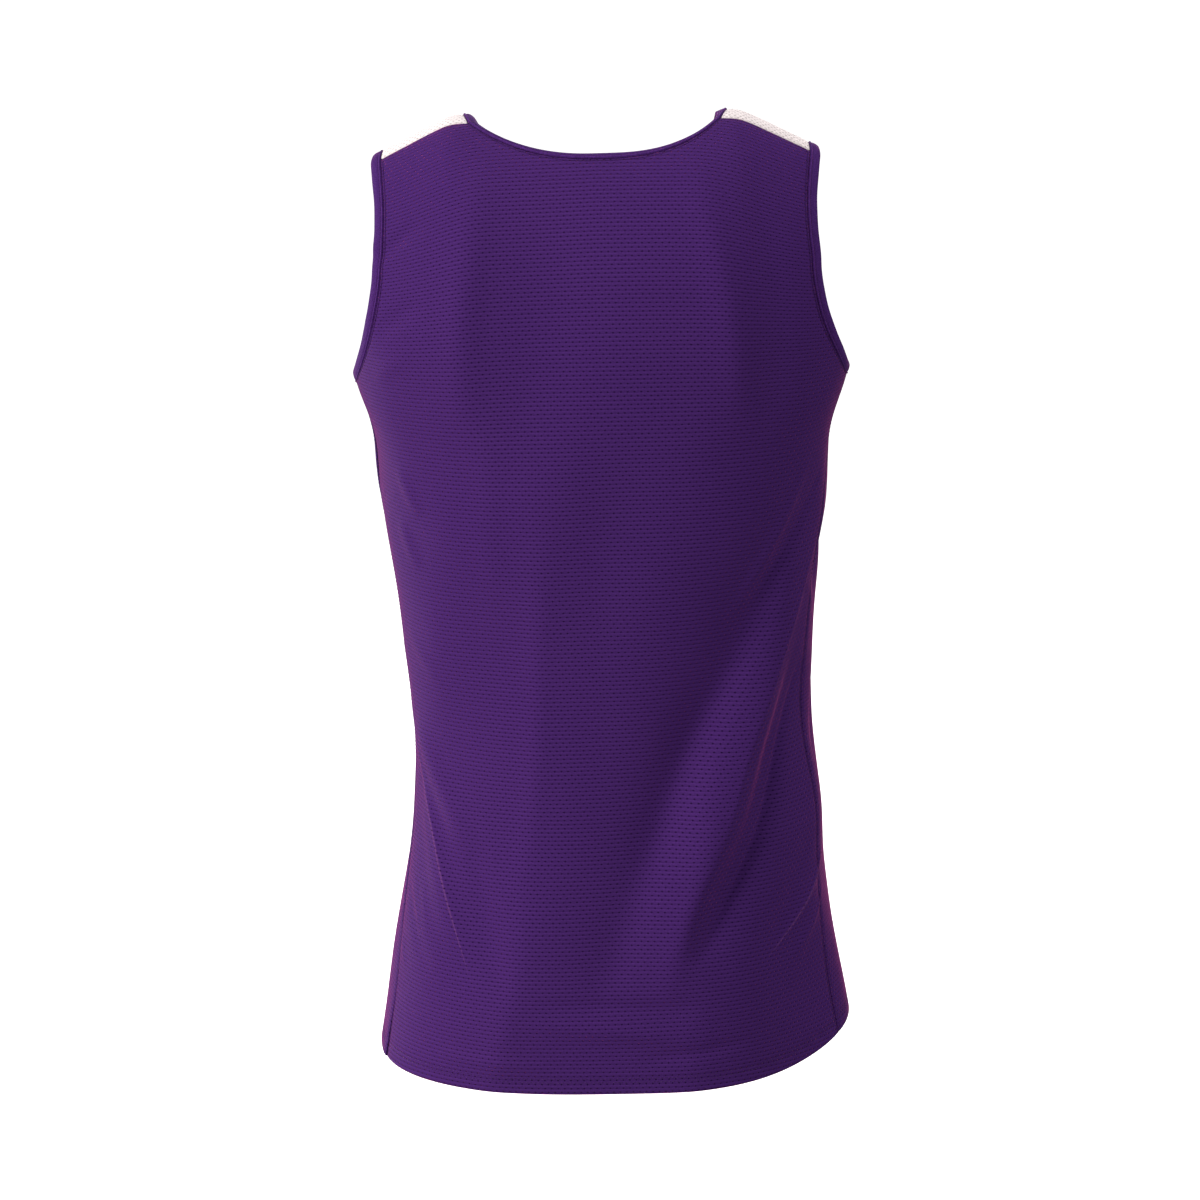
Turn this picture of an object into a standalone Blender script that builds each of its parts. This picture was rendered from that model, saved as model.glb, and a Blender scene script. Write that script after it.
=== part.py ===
"""Basketball jersey, sleeveless, filled out as if worn and carried by the shoulders.

The pieces are those that a maker cuts and sews: a back, a front, a yoke over each shoulder, a binding
round the neck and one round each armhole. The back, the front and the yokes are thin walls on one form.
Below the armpits the form is a stack of rings round the trunk, and above them an arch goes from back to
front over each shoulder. The bindings are built on the edge points of the walls that they finish.

Axes: +Z is up, +Y is the way the wearer faces, +X is the wearer's right.
Origin: midway between the shoulder ridges beside the neck, at their height. Units are metres.
"""

import math
from collections import namedtuple

import bmesh
import bpy
from mathutils import Vector

# ---------------------------------------------------------------- driving dimensions

HEM_HEIGHT = -0.751  # hem at the centre back, below the shoulder ridge
HEM_LIFT = {-1: 0.002, 1: 0.022}  # how much higher it hangs at the wearer's left and right side
HEM_LIFT_CURVE = 4.0  # exponent of that rise from the centre to the side
HEM_TURN_UP = 0.014  # depth of the doubled cloth along the hem
HEM_STEP = 0.001  # height over which the doubled cloth ends
ARMPIT_HEIGHT = -0.208  # lowest point of the armhole seam
WALL = 0.0012  # knitted mesh cloth
BINDING_WALL = 0.0025  # folded strip, two layers and their turnings
ARM_BINDING_WIDTH = 0.0085
NECK_BINDING_WIDTH = 0.0100
SEAM_GAP = 0.0003  # clearance between pieces at a seam
BINDING_GAP = 0.0005  # a little more at the bindings, which are thicker than the cloth

# The arch over the shoulder: how far below the ridge the back and the front reach full depth.
BACK_RISE = 0.150
FRONT_RISE = 0.170
SHOULDER_START = 0.111  # distance from the middle where the shoulder starts to slope
SHOULDER_SLOPE = math.radians(27)
SHOULDER_SOFT = 0.007  # rounding of that bend

# A ring round the trunk: half its width, how far its middle lies to the wearer's right, how far it
# reaches back and forward, and the exponent of its outline, where 2 is an ellipse and more is squarer.
# Above the armpit the width is that of the whole form, which the armholes cut away.
Ring = namedtuple("Ring", "height half_width aside back front squareness")
RINGS = (
    Ring(-0.790, 0.197, 0.000, 0.140, 0.145, 2.55),
    Ring(-0.750, 0.191, 0.000, 0.137, 0.143, 2.55),
    Ring(-0.680, 0.179, 0.000, 0.133, 0.138, 2.45),
    Ring(-0.610, 0.169, 0.002, 0.125, 0.132, 2.35),
    Ring(-0.550, 0.164, 0.005, 0.117, 0.128, 2.25),
    Ring(-0.480, 0.158, 0.003, 0.111, 0.126, 2.20),
    Ring(-0.400, 0.163, 0.001, 0.110, 0.126, 2.20),
    Ring(-0.320, 0.171, 0.000, 0.114, 0.127, 2.25),
    Ring(-0.250, 0.178, 0.000, 0.117, 0.125, 2.30),
    Ring(-0.208, 0.191, 0.000, 0.117, 0.122, 2.30),
    Ring(-0.170, 0.200, 0.000, 0.115, 0.118, 2.30),
    Ring(-0.130, 0.206, 0.000, 0.109, 0.112, 2.30),
    Ring(-0.060, 0.206, 0.000, 0.103, 0.107, 2.30),
    Ring(0.020, 0.206, 0.000, 0.101, 0.105, 2.30),
)

# The side seams run from under the arms to the hem and drift towards the back on the way: how many
# degrees round from the centre back each of them is, on the wearer's left and on the wearer's right.
SideSeam = namedtuple("SideSeam", "height left right")
SIDE_SEAMS = (
    SideSeam(-0.790, 69.0, 68.0),
    SideSeam(-0.700, 70.0, 69.0),
    SideSeam(-0.620, 76.0, 70.5),
    SideSeam(-0.500, 81.0, 72.0),
    SideSeam(-0.400, 84.0, 72.0),
    SideSeam(-0.300, 87.0, 79.0),
    SideSeam(-0.208, 90.0, 90.0),
)

# A panel: which way it faces, its armhole, and its neckline, whose curve is an exponent for the wearer's
# left and one for the right.
Panel = namedtuple(
    "Panel",
    "name facing rise knee_height knee_x strap_bow tip_x neck_corner_x yoke_seam neck_height neck_curve",
)
BACK = Panel(
    "back_panel", -1, BACK_RISE, -0.104, 0.164, 0.003, 0.165, 0.096, math.radians(12.5), -0.0270, (2.2, 3.0)
)
FRONT = Panel(
    "front_panel", 1, FRONT_RISE, -0.112, 0.152, 0.003, 0.162, 0.100, math.radians(30), -0.112, (2.6, 2.6)
)
YOKE_NECK_BULGE = 0.004  # the neck edge of a yoke is this much further out at the ridge

# How far the neck binding rolls into the neck opening from the line of the cloth, in degrees. The turn
# goes round the neck from the centre back, and the yokes are near -90, the wearer's left, and 90.
Lean = namedtuple("Lean", "turn angle")
NECK_LEANS = (
    Lean(-180, 8),
    Lean(-120, 8),
    Lean(-90, 26),
    Lean(-75, 34),
    Lean(-57, 50),
    Lean(-8, 42),
    Lean(29, 55),
    Lean(52, 74),
    Lean(63, 60),
    Lean(77, 12),
    Lean(90, 0),
    Lean(120, 4),
    Lean(180, 8),
)

# A fold: a soft ridge, or a trough where the height is negative, from its top end to its low end.
# Angles go round the trunk from the centre back, positive towards the wearer's right.
Fold = namedtuple("Fold", "top_angle top_height low_angle low_height width height")
FOLD_RADIUS = 0.150  # turns an angle into a distance round the trunk
FOLDS = (
    Fold(66, -0.310, 0, -0.655, 0.017, 0.0065),
    Fold(68, -0.270, -8, -0.620, 0.028, -0.0050),
    Fold(64, -0.370, 18, -0.620, 0.011, 0.0045),
    Fold(60, -0.420, 16, -0.660, 0.012, -0.0065),
    Fold(-68, -0.490, -31, -0.655, 0.013, -0.0050),
    Fold(-72, -0.470, -38, -0.565, 0.012, 0.0035),
    Fold(-66, -0.520, -38, -0.655, 0.012, 0.0035),
    Fold(-8, -0.180, -28, -0.820, 0.030, 0.0040),
    Fold(4, -0.110, -8, -0.640, 0.040, -0.0060),
    Fold(-25, 0.000, -37, -0.270, 0.026, 0.0030),
    Fold(20, 0.000, 35, -0.250, 0.026, 0.0030),
    Fold(52, -0.560, 50, -0.900, 0.045, -0.0100),
    Fold(100, -0.300, 74, -0.380, 0.014, -0.0050),
    Fold(122, -0.340, 174, -0.630, 0.020, 0.0060),
    Fold(114, -0.420, 158, -0.660, 0.014, -0.0050),
    Fold(-112, -0.430, -156, -0.650, 0.016, 0.0050),
    Fold(-120, -0.380, -168, -0.600, 0.022, -0.0050),
    Fold(180, -0.200, 180, -0.600, 0.045, -0.0050),
)

# Grid of each wall.
NECK_COLUMNS = 8  # from the middle of a panel to the corner of its neckline
STRAP_COLUMNS = 7  # from there to the armhole, and across a yoke
TRUNK_ROWS = 23  # from the hem to the armpit
KNEE_ROWS = 6  # round the foot of the armhole
STRAP_ROWS = 5  # from there to the yoke
YOKE_ROWS = 7
KNEE_PULL = 3.0  # how closely the rows near the armhole crowd towards it
BINDING_COLUMNS = 3
BINDING_ROUNDING = 0.0008

PURPLE = (0.085, 0.027, 0.155, 1.0)
WHITE = (0.80, 0.74, 0.73, 1.0)
CLOTH_ROUGHNESS = 0.75
STEP = 1e-4  # step for slopes, in metres and in radians
WELD = 1e-6


# ---------------------------------------------------------------- the form


def along(table, height):
    """The row of a table at this height, on a smooth curve through its rows."""
    rows = sorted(table)
    last = len(rows) - 1
    i = max(0, min(last - 1, sum(row[0] <= height for row in rows) - 1))
    low, high = rows[i], rows[i + 1]
    span = high[0] - low[0]
    t = min(1.0, max(0.0, (height - low[0]) / span))
    before, after = rows[max(0, i - 1)], rows[min(last, i + 2)]
    values = []
    for k in range(1, len(low)):
        slope_low = (high[k] - before[k]) / (high[0] - before[0])
        slope_high = (after[k] - low[k]) / (after[0] - low[0])
        values.append(
            (2 * t**3 - 3 * t**2 + 1) * low[k]
            + (t**3 - 2 * t**2 + t) * span * slope_low
            + (3 * t**2 - 2 * t**3) * high[k]
            + (t**3 - t**2) * span * slope_high
        )
    return type(low)(height, *values)


def ridge(x):
    """Height of the shoulder ridge at this distance from the middle."""
    over = abs(x) - SHOULDER_START
    return -math.tan(SHOULDER_SLOPE) * (over + math.hypot(over, SHOULDER_SOFT)) / 2


def arch(x, height, rise):
    """Share of its full depth that the form has here, from 0 on the ridge to 1 below the arch."""
    up = 1 - max(0.0, min(1.0, (ridge(x) - height) / rise))
    return math.sqrt(1 - up * up)


def trunk_point(angle, height):
    """A point of the form, at an angle round from the centre back."""
    ring = along(RINGS, height)
    s, c = math.sin(angle), math.cos(angle)
    k = (abs(s) ** ring.squareness + abs(c) ** ring.squareness) ** (-1 / ring.squareness)
    x = ring.aside + ring.half_width * k * s
    depth, rise = (ring.back, BACK_RISE) if c > 0 else (ring.front, FRONT_RISE)
    return Vector((x, -depth * k * c * arch(x, height, rise), height))


def angle_at(x, height):
    """Angle from the middle of a panel at which the form is this far from the middle plane."""
    ring = along(RINGS, height)
    share = min(1.0, abs(x) / ring.half_width)
    rest = (1 - share**ring.squareness) ** (1 / ring.squareness)
    return math.atan2(share, rest)


def surface_normal(point, a, b):
    """Outward normal of the surface that point(a, b) gives."""
    along_a = point(a + STEP, b) - point(a - STEP, b)
    along_b = point(a, b + STEP) - point(a, b - STEP)
    return along_a.cross(along_b).normalized()


def fold_height(angle, height):
    """How far the folds push the cloth out here."""
    total = 0.0
    for fold in FOLDS:
        top = math.radians(fold.top_angle)
        low = math.radians(fold.low_angle)
        turn = (angle - (top + low) / 2 + math.pi) % (2 * math.pi) - math.pi
        across = Vector((FOLD_RADIUS * turn, height - (fold.top_height + fold.low_height) / 2))
        half = Vector((FOLD_RADIUS * (top - low), fold.top_height - fold.low_height)) / 2
        run = across.dot(half) / half.length_squared
        away = (across - run * half).length / fold.width
        fade = max(0.0, 1 - run * run)
        total += fold.height * math.exp(-away * away) * fade
    return total


def cloth_point(angle, height):
    """A point of the cloth: the form with its folds."""
    normal = surface_normal(trunk_point, angle, height)
    return trunk_point(angle, height) + normal * fold_height(angle, height)


def yoke_point(x, turn):
    """A point of the form over the shoulder. The turn is 0 on the ridge and positive in front of it."""
    rise = FRONT_RISE if turn > 0 else BACK_RISE
    height = ridge(x) - rise * (1 - math.cos(turn))
    ring = along(RINGS, height)
    depth = ring.front if turn > 0 else ring.back
    share = (1 - (abs(x) / ring.half_width) ** ring.squareness) ** (1 / ring.squareness)
    return Vector((x, depth * share * math.sin(turn), height))


# ---------------------------------------------------------------- outlines of the pieces


def hem_height(angle):
    side = math.sin(angle)
    return HEM_HEIGHT + HEM_LIFT[1 if side > 0 else -1] * abs(side) ** HEM_LIFT_CURVE


def side_seam(hand, height):
    """Angle of a side seam from the centre back. The hand is -1 on the wearer's left, 1 on the right."""
    seams = along(SIDE_SEAMS, height)
    return math.radians(seams.left if hand < 0 else seams.right)


def yoke_seam_height(panel, x):
    return ridge(x) - panel.rise * (1 - math.cos(panel.yoke_seam))


def top_height(panel, x):
    """Height of a panel's upper edge: its neckline, then the seam to the yoke."""
    if abs(x) >= panel.neck_corner_x:
        return yoke_seam_height(panel, x)
    corner = yoke_seam_height(panel, math.copysign(panel.neck_corner_x, x))
    share = (abs(x) / panel.neck_corner_x) ** panel.neck_curve[x > 0]
    return panel.neck_height + (corner - panel.neck_height) * share


def armhole_rows(panel):
    """(height, angle) of the armhole seam, from the row above the armpit up to the yoke."""
    rows = []
    knee_angle = angle_at(panel.knee_x, panel.knee_height)
    for i in range(1, KNEE_ROWS + 1):
        turn = math.pi / 2 * i / KNEE_ROWS
        height = ARMPIT_HEIGHT + (panel.knee_height - ARMPIT_HEIGHT) * (1 - math.cos(turn))
        rows.append((height, math.pi / 2 - (math.pi / 2 - knee_angle) * math.sin(turn)))
    tip_height = yoke_seam_height(panel, panel.tip_x)
    for i in range(1, STRAP_ROWS + 1):
        share = i / STRAP_ROWS
        height = panel.knee_height + (tip_height - panel.knee_height) * share
        x = panel.knee_x + (panel.tip_x - panel.knee_x) * share
        x -= panel.strap_bow * math.sin(math.pi * share)
        rows.append((height, angle_at(x, height)))
    return rows


def panel_columns(panel):
    """Shares of a panel's half-width, -1 to 1, with a column at each corner of the neckline."""
    tip_height = yoke_seam_height(panel, panel.tip_x)
    corner = angle_at(panel.neck_corner_x, 0.0) / angle_at(panel.tip_x, tip_height)
    half = [corner * i / NECK_COLUMNS for i in range(NECK_COLUMNS)]
    half += [corner + (1 - corner) * i / STRAP_COLUMNS for i in range(STRAP_COLUMNS + 1)]
    return [-share for share in reversed(half[1:])] + half


# ---------------------------------------------------------------- open surfaces

# A grid point: where the outer face of the cloth is, which way is out, and whether it is doubled.
Knot = namedtuple("Knot", "point normal doubled")


def cloth_knot(angle, height, doubled=False):
    return Knot(cloth_point(angle, height), surface_normal(cloth_point, angle, height), doubled)


def trunk_heights():
    """(share of the way from the hem to the armpit, doubled) of each row up to the armpit."""
    depth = ARMPIT_HEIGHT - HEM_HEIGHT
    first = (HEM_TURN_UP + HEM_STEP) / depth
    rows = [(0.0, True), (HEM_TURN_UP / depth, True)]
    rows += [(first + (1 - first) * i / TRUNK_ROWS, False) for i in range(TRUNK_ROWS + 1)]
    return rows


def panel_grid(panel):
    """Rows of knots from the hem up. Seen from outside, each row goes from left to right."""
    columns = panel_columns(panel)
    middle = 0.0 if panel.facing < 0 else math.pi
    grid = []
    for share, doubled in trunk_heights():
        row = []
        for column in columns:
            hand = -panel.facing if column > 0 else panel.facing
            seam = side_seam(hand, HEM_HEIGHT + (ARMPIT_HEIGHT - HEM_HEIGHT) * share)
            angle = middle + column * (seam if panel.facing < 0 else math.pi - seam)
            hem = hem_height(angle)
            row.append(cloth_knot(angle, hem + (ARMPIT_HEIGHT - hem) * share, doubled))
        grid.append(row)
    edges = armhole_rows(panel)
    tip_height, tip_angle = edges[-1]
    for i, (edge_height, edge_angle) in enumerate(edges, 1):
        row = []
        even = i / len(edges)
        at_edge = (edge_height - ARMPIT_HEIGHT) / (tip_height - ARMPIT_HEIGHT)
        for column in columns:
            top = top_height(panel, trunk_point(middle + column * tip_angle, 0.0).x)
            climb = even + (at_edge - even) * abs(column) ** KNEE_PULL
            height = ARMPIT_HEIGHT + (top - ARMPIT_HEIGHT) * climb
            row.append(cloth_knot(middle + column * edge_angle, height))
        grid.append(row)
    return grid


def yoke_grid(hand):
    """Rows of knots from the back seam over the ridge to the front seam, left to right from behind."""
    seams = []
    for panel in (BACK, FRONT):
        tip_height, tip_angle = armhole_rows(panel)[-1]
        shares = [c for c in panel_columns(panel) if c > 0][-STRAP_COLUMNS - 1 :]
        seams.append([trunk_point(share * tip_angle, 0.0).x for share in shares])
    grid = []
    for j in range(YOKE_ROWS + 1):
        way = j / YOKE_ROWS
        turn = -BACK.yoke_seam + (BACK.yoke_seam + FRONT.yoke_seam) * way
        row = []
        for i, (back_x, front_x) in enumerate(zip(*seams)):
            bulge = YOKE_NECK_BULGE * math.sin(math.pi * way) * (1 - i / STRAP_COLUMNS)
            x = hand * (back_x + (front_x - back_x) * way + bulge)
            normal = surface_normal(yoke_point, x, turn)
            row.append(Knot(yoke_point(x, turn), normal, False))
        grid.append(row if hand > 0 else row[::-1])
    return grid


def drawn_in(point, neighbour, distance):
    return point + (neighbour - point).normalized() * distance


def with_seam_gaps(grid, first_row, last_row, side_rows):
    """A copy of the grid whose sewn edges are drawn in by half of the seam gap."""
    gap = SEAM_GAP / 2
    new = [list(row) for row in grid]
    for row in range(side_rows):
        for edge, inner in ((0, 1), (-1, -2)):
            knot = grid[row][edge]
            new[row][edge] = knot._replace(point=drawn_in(knot.point, grid[row][inner].point, gap))
    for edge, inner, columns in ((0, 1, first_row), (-1, -2, last_row)):
        for column in columns:
            knot = new[edge][column]
            moved = drawn_in(knot.point, grid[inner][column].point, gap)
            new[edge][column] = knot._replace(point=moved)
    return new


# ---------------------------------------------------------------- bindings


def binding_grid(knots, centre, width, leans):
    """The middle plane of a folded strip. Each row crosses the strip, from the seam towards the centre
    of the hole. The rows follow a closed line of edge knots, and the last repeats the first."""
    grid = []
    for i, knot in enumerate(knots):
        tangent = (knots[(i + 1) % len(knots)].point - knots[i - 1].point).normalized()
        across = knot.normal.cross(tangent).normalized()
        if across.dot(centre - knot.point) < 0:
            across = -across
        out = (knot.normal - tangent * knot.normal.dot(tangent)).normalized()
        row = []
        for column in range(BINDING_COLUMNS + 1):
            distance = BINDING_GAP + (width - BINDING_GAP) * column / BINDING_COLUMNS
            bend = leans[i] * distance / width
            run = math.cos(bend) * across - math.sin(bend) * out
            row.append(Knot(knot.point - out * (WALL / 2) + run * distance, out, False))
        grid.append(row)
    return grid + grid[:1]


def armhole_knots(back, front, yoke, hand):
    """Edge knots round an armhole, from the armpit up the back, over the yoke and down the front."""
    first = len(trunk_heights()) - 1
    outer, other = (-1, 0) if hand > 0 else (0, -1)
    up_back = [row[outer] for row in back[first:]]
    over = [row[outer] for row in yoke[1:]]
    down_front = [row[other] for row in reversed(front[first + 1 : -1])]
    return up_back + over + down_front


def neck_knots(back, front, yokes):
    """Edge knots round the neck, from the left corner of the back neckline to the right and round."""
    neck = slice(STRAP_COLUMNS, STRAP_COLUMNS + 2 * NECK_COLUMNS + 1)
    right = [row[0] for row in yokes[1][1:-1]]
    left = [row[-1] for row in reversed(yokes[-1][1:-1])]
    return back[-1][neck] + right + front[-1][neck] + left


def neck_leans(knots):
    """The roll of the binding at each knot, in radians."""
    turns = [math.degrees(math.atan2(knot.point.x, -knot.point.y)) for knot in knots]
    return [math.radians(along(NECK_LEANS, turn).angle) for turn in turns]


# ---------------------------------------------------------------- solids


def surface_object(name, grid, wall, material, collection):
    """An open surface one wall inside the knots, or two where the cloth is doubled: a flat grid whose
    points are moved to their places."""
    rows, columns = len(grid) - 1, len(grid[0]) - 1
    bm = bmesh.new()
    bmesh.ops.create_grid(bm, x_segments=columns, y_segments=rows, size=1.0)
    doubled = []
    for vert in bm.verts:
        row = round((vert.co.y + 1) / 2 * rows)
        column = round((vert.co.x + 1) / 2 * columns)
        knot = grid[row][column]
        vert.co = knot.point - knot.normal * wall * (2 if knot.doubled else 1)
        if knot.doubled:
            doubled.append(vert.index)
    bmesh.ops.remove_doubles(bm, verts=bm.verts, dist=WELD)
    mesh = bpy.data.meshes.new(name)
    bm.to_mesh(mesh)
    bm.free()
    mesh.materials.append(material)
    mesh.shade_smooth()
    obj = bpy.data.objects.new(name, mesh)
    collection.objects.link(obj)
    if doubled:
        obj.vertex_groups.new(name="doubled").add(doubled, 1.0, "REPLACE")
    return obj


def add_wall(obj, thickness, offset):
    """Thicken a surface: an offset of 1 puts the wall outside it, and 0 puts half on each side."""
    solidify = obj.modifiers.new("wall", "SOLIDIFY")
    solidify.thickness = thickness
    solidify.offset = offset
    if "doubled" in obj.vertex_groups:
        solidify.thickness = 2 * thickness
        solidify.vertex_group = "doubled"
        solidify.thickness_vertex_group = 0.5
    return solidify


def cloth_piece(name, grid, material, collection):
    add_wall(surface_object(name, grid, WALL, material, collection), WALL, 1.0)


def binding_piece(name, knots, width, leans, material, collection):
    centre = sum((knot.point for knot in knots), Vector()) / len(knots)
    grid = binding_grid(knots, centre, width, leans)
    obj = surface_object(name, grid, 0.0, material, collection)
    add_wall(obj, BINDING_WALL, 0.0)
    fold = obj.modifiers.new("rounded_fold", "BEVEL")
    fold.width = BINDING_ROUNDING
    fold.segments = 1
    fold.limit_method = "ANGLE"
    fold.angle_limit = math.radians(50)


def cloth_material(name, colour):
    material = bpy.data.materials.new(name)
    material.use_nodes = True
    shader = material.node_tree.nodes["Principled BSDF"]
    shader.inputs["Base Color"].default_value = colour
    shader.inputs["Roughness"].default_value = CLOTH_ROUGHNESS
    shader.inputs["Metallic"].default_value = 0.0
    return material


def build_jersey():
    collection = bpy.data.collections.new("basketball_jersey")
    bpy.context.scene.collection.children.link(collection)
    purple = cloth_material("purple_mesh", PURPLE)
    white = cloth_material("white_mesh", WHITE)
    rib = cloth_material("purple_binding", PURPLE)

    back, front = panel_grid(BACK), panel_grid(FRONT)
    yokes = {hand: yoke_grid(hand) for hand in (-1, 1)}
    strap_columns = list(range(STRAP_COLUMNS + 1))
    strap_columns += [-1 - column for column in strap_columns]
    side_rows = len(trunk_heights())
    for panel, grid in ((BACK, back), (FRONT, front)):
        sewn = with_seam_gaps(grid, [], strap_columns, side_rows)
        cloth_piece(panel.name, sewn, purple, collection)
    whole_row = list(range(STRAP_COLUMNS + 1))
    for hand, name in ((-1, "yoke_left"), (1, "yoke_right")):
        sewn = with_seam_gaps(yokes[hand], whole_row, whole_row, 0)
        cloth_piece(name, sewn, white, collection)

    for hand, name in ((-1, "arm_binding_left"), (1, "arm_binding_right")):
        knots = armhole_knots(back, front, yokes[hand], hand)
        binding_piece(name, knots, ARM_BINDING_WIDTH, [0.0] * len(knots), rib, collection)
    knots = neck_knots(back, front, yokes)
    binding_piece("neck_binding", knots, NECK_BINDING_WIDTH, neck_leans(knots), rib, collection)


def main():
    for obj in list(bpy.data.objects):
        bpy.data.objects.remove(obj)
    build_jersey()


main()
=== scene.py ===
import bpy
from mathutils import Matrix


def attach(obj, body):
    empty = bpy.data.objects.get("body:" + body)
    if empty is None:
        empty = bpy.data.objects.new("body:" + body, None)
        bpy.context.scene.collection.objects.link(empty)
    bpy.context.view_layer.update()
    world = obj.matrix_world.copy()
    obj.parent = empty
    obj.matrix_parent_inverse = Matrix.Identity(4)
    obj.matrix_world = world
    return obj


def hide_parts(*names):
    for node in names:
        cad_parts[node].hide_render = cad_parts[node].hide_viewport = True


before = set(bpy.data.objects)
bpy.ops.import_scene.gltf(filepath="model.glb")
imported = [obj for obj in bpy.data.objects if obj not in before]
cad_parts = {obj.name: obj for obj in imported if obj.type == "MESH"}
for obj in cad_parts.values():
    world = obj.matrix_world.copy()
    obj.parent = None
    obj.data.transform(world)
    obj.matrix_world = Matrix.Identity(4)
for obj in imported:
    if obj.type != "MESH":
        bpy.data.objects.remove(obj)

"""Looks of the sleeveless basketball jersey: cloth shells, folded bindings and stitches on the frame's form.

Axes and sizes are those of the frame: +Z up, +Y the way the wearer faces, +X the wearer's right, metres.
"""

import math
from collections import namedtuple

import bmesh
import bpy
import numpy as np
from mathutils import Matrix, Vector

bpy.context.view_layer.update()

# -------- sizes, as in the frame

HEM_HEIGHT = -0.751
HEM_LIFT = {-1: 0.002, 1: 0.022}
HEM_LIFT_CURVE = 4.0
HEM_TURN_UP = 0.014
ARMPIT_HEIGHT = -0.208
ARM_BINDING_WIDTH = 0.0085
NECK_BINDING_WIDTH = 0.0100
BACK_RISE = 0.150
FRONT_RISE = 0.170
SHOULDER_START = 0.111
SHOULDER_SLOPE = math.radians(27)
SHOULDER_SOFT = 0.007

Ring = namedtuple("Ring", "height half_width aside back front squareness")
RINGS = (
    Ring(-0.790, 0.197, 0.000, 0.140, 0.145, 2.55),
    Ring(-0.750, 0.191, 0.000, 0.137, 0.143, 2.55),
    Ring(-0.680, 0.179, 0.000, 0.133, 0.138, 2.45),
    Ring(-0.610, 0.169, 0.002, 0.125, 0.132, 2.35),
    Ring(-0.550, 0.164, 0.005, 0.117, 0.128, 2.25),
    Ring(-0.480, 0.158, 0.003, 0.111, 0.126, 2.20),
    Ring(-0.400, 0.163, 0.001, 0.110, 0.126, 2.20),
    Ring(-0.320, 0.171, 0.000, 0.114, 0.127, 2.25),
    Ring(-0.250, 0.178, 0.000, 0.117, 0.125, 2.30),
    Ring(-0.208, 0.191, 0.000, 0.117, 0.122, 2.30),
    Ring(-0.170, 0.200, 0.000, 0.115, 0.118, 2.30),
    Ring(-0.130, 0.206, 0.000, 0.109, 0.112, 2.30),
    Ring(-0.060, 0.206, 0.000, 0.103, 0.107, 2.30),
    Ring(0.020, 0.206, 0.000, 0.101, 0.105, 2.30),
)

SideSeam = namedtuple("SideSeam", "height left right")
SIDE_SEAMS = (
    SideSeam(-0.790, 69.0, 68.0),
    SideSeam(-0.700, 70.0, 69.0),
    SideSeam(-0.620, 76.0, 70.5),
    SideSeam(-0.500, 81.0, 72.0),
    SideSeam(-0.400, 84.0, 72.0),
    SideSeam(-0.300, 87.0, 79.0),
    SideSeam(-0.208, 90.0, 90.0),
)

Panel = namedtuple(
    "Panel",
    "name facing rise knee_height knee_x strap_bow tip_x neck_corner_x yoke_seam neck_height neck_curve",
)
BACK = Panel(
    "back_panel", -1, BACK_RISE, -0.104, 0.164, 0.003, 0.165, 0.096, math.radians(12.5), -0.0270, (2.2, 3.0)
)
FRONT = Panel(
    "front_panel", 1, FRONT_RISE, -0.112, 0.152, 0.003, 0.162, 0.100, math.radians(30), -0.112, (2.6, 2.6)
)
YOKE_NECK_BULGE = 0.004

# Roll of the neck binding into the neck opening, in degrees, by the turn round it from the centre back.
Lean = namedtuple("Lean", "turn angle")
NECK_LEANS = (
    Lean(-180, 8),
    Lean(-120, 8),
    Lean(-90, 26),
    Lean(-75, 34),
    Lean(-57, 50),
    Lean(-8, 42),
    Lean(29, 55),
    Lean(52, 74),
    Lean(63, 60),
    Lean(77, 12),
    Lean(90, 0),
    Lean(120, 4),
    Lean(180, 8),
)

Fold = namedtuple("Fold", "top_angle top_height low_angle low_height width height")
FOLD_RADIUS = 0.150
MAIN_FOLDS = (
    Fold(66, -0.310, 0, -0.655, 0.017, 0.0065),
    Fold(68, -0.270, -8, -0.620, 0.028, -0.0050),
    Fold(64, -0.370, 18, -0.620, 0.011, 0.0045),
    Fold(60, -0.420, 16, -0.660, 0.012, -0.0065),
    Fold(-68, -0.490, -31, -0.655, 0.013, -0.0050),
    Fold(-72, -0.470, -38, -0.565, 0.012, 0.0035),
    Fold(-66, -0.520, -38, -0.655, 0.012, 0.0035),
    Fold(-8, -0.180, -28, -0.820, 0.030, 0.0040),
    Fold(4, -0.110, -8, -0.640, 0.040, -0.0060),
    Fold(-25, 0.000, -37, -0.270, 0.026, 0.0030),
    Fold(20, 0.000, 35, -0.250, 0.026, 0.0030),
    Fold(52, -0.560, 50, -0.900, 0.045, -0.0100),
    Fold(100, -0.300, 74, -0.380, 0.014, -0.0050),
    Fold(122, -0.340, 174, -0.630, 0.020, 0.0060),
    Fold(114, -0.420, 158, -0.660, 0.014, -0.0050),
    Fold(-112, -0.430, -156, -0.650, 0.016, 0.0050),
    Fold(-120, -0.380, -168, -0.600, 0.022, -0.0050),
    Fold(180, -0.200, 180, -0.600, 0.045, -0.0050),
)

# -------- finer folds, which only show

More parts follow.
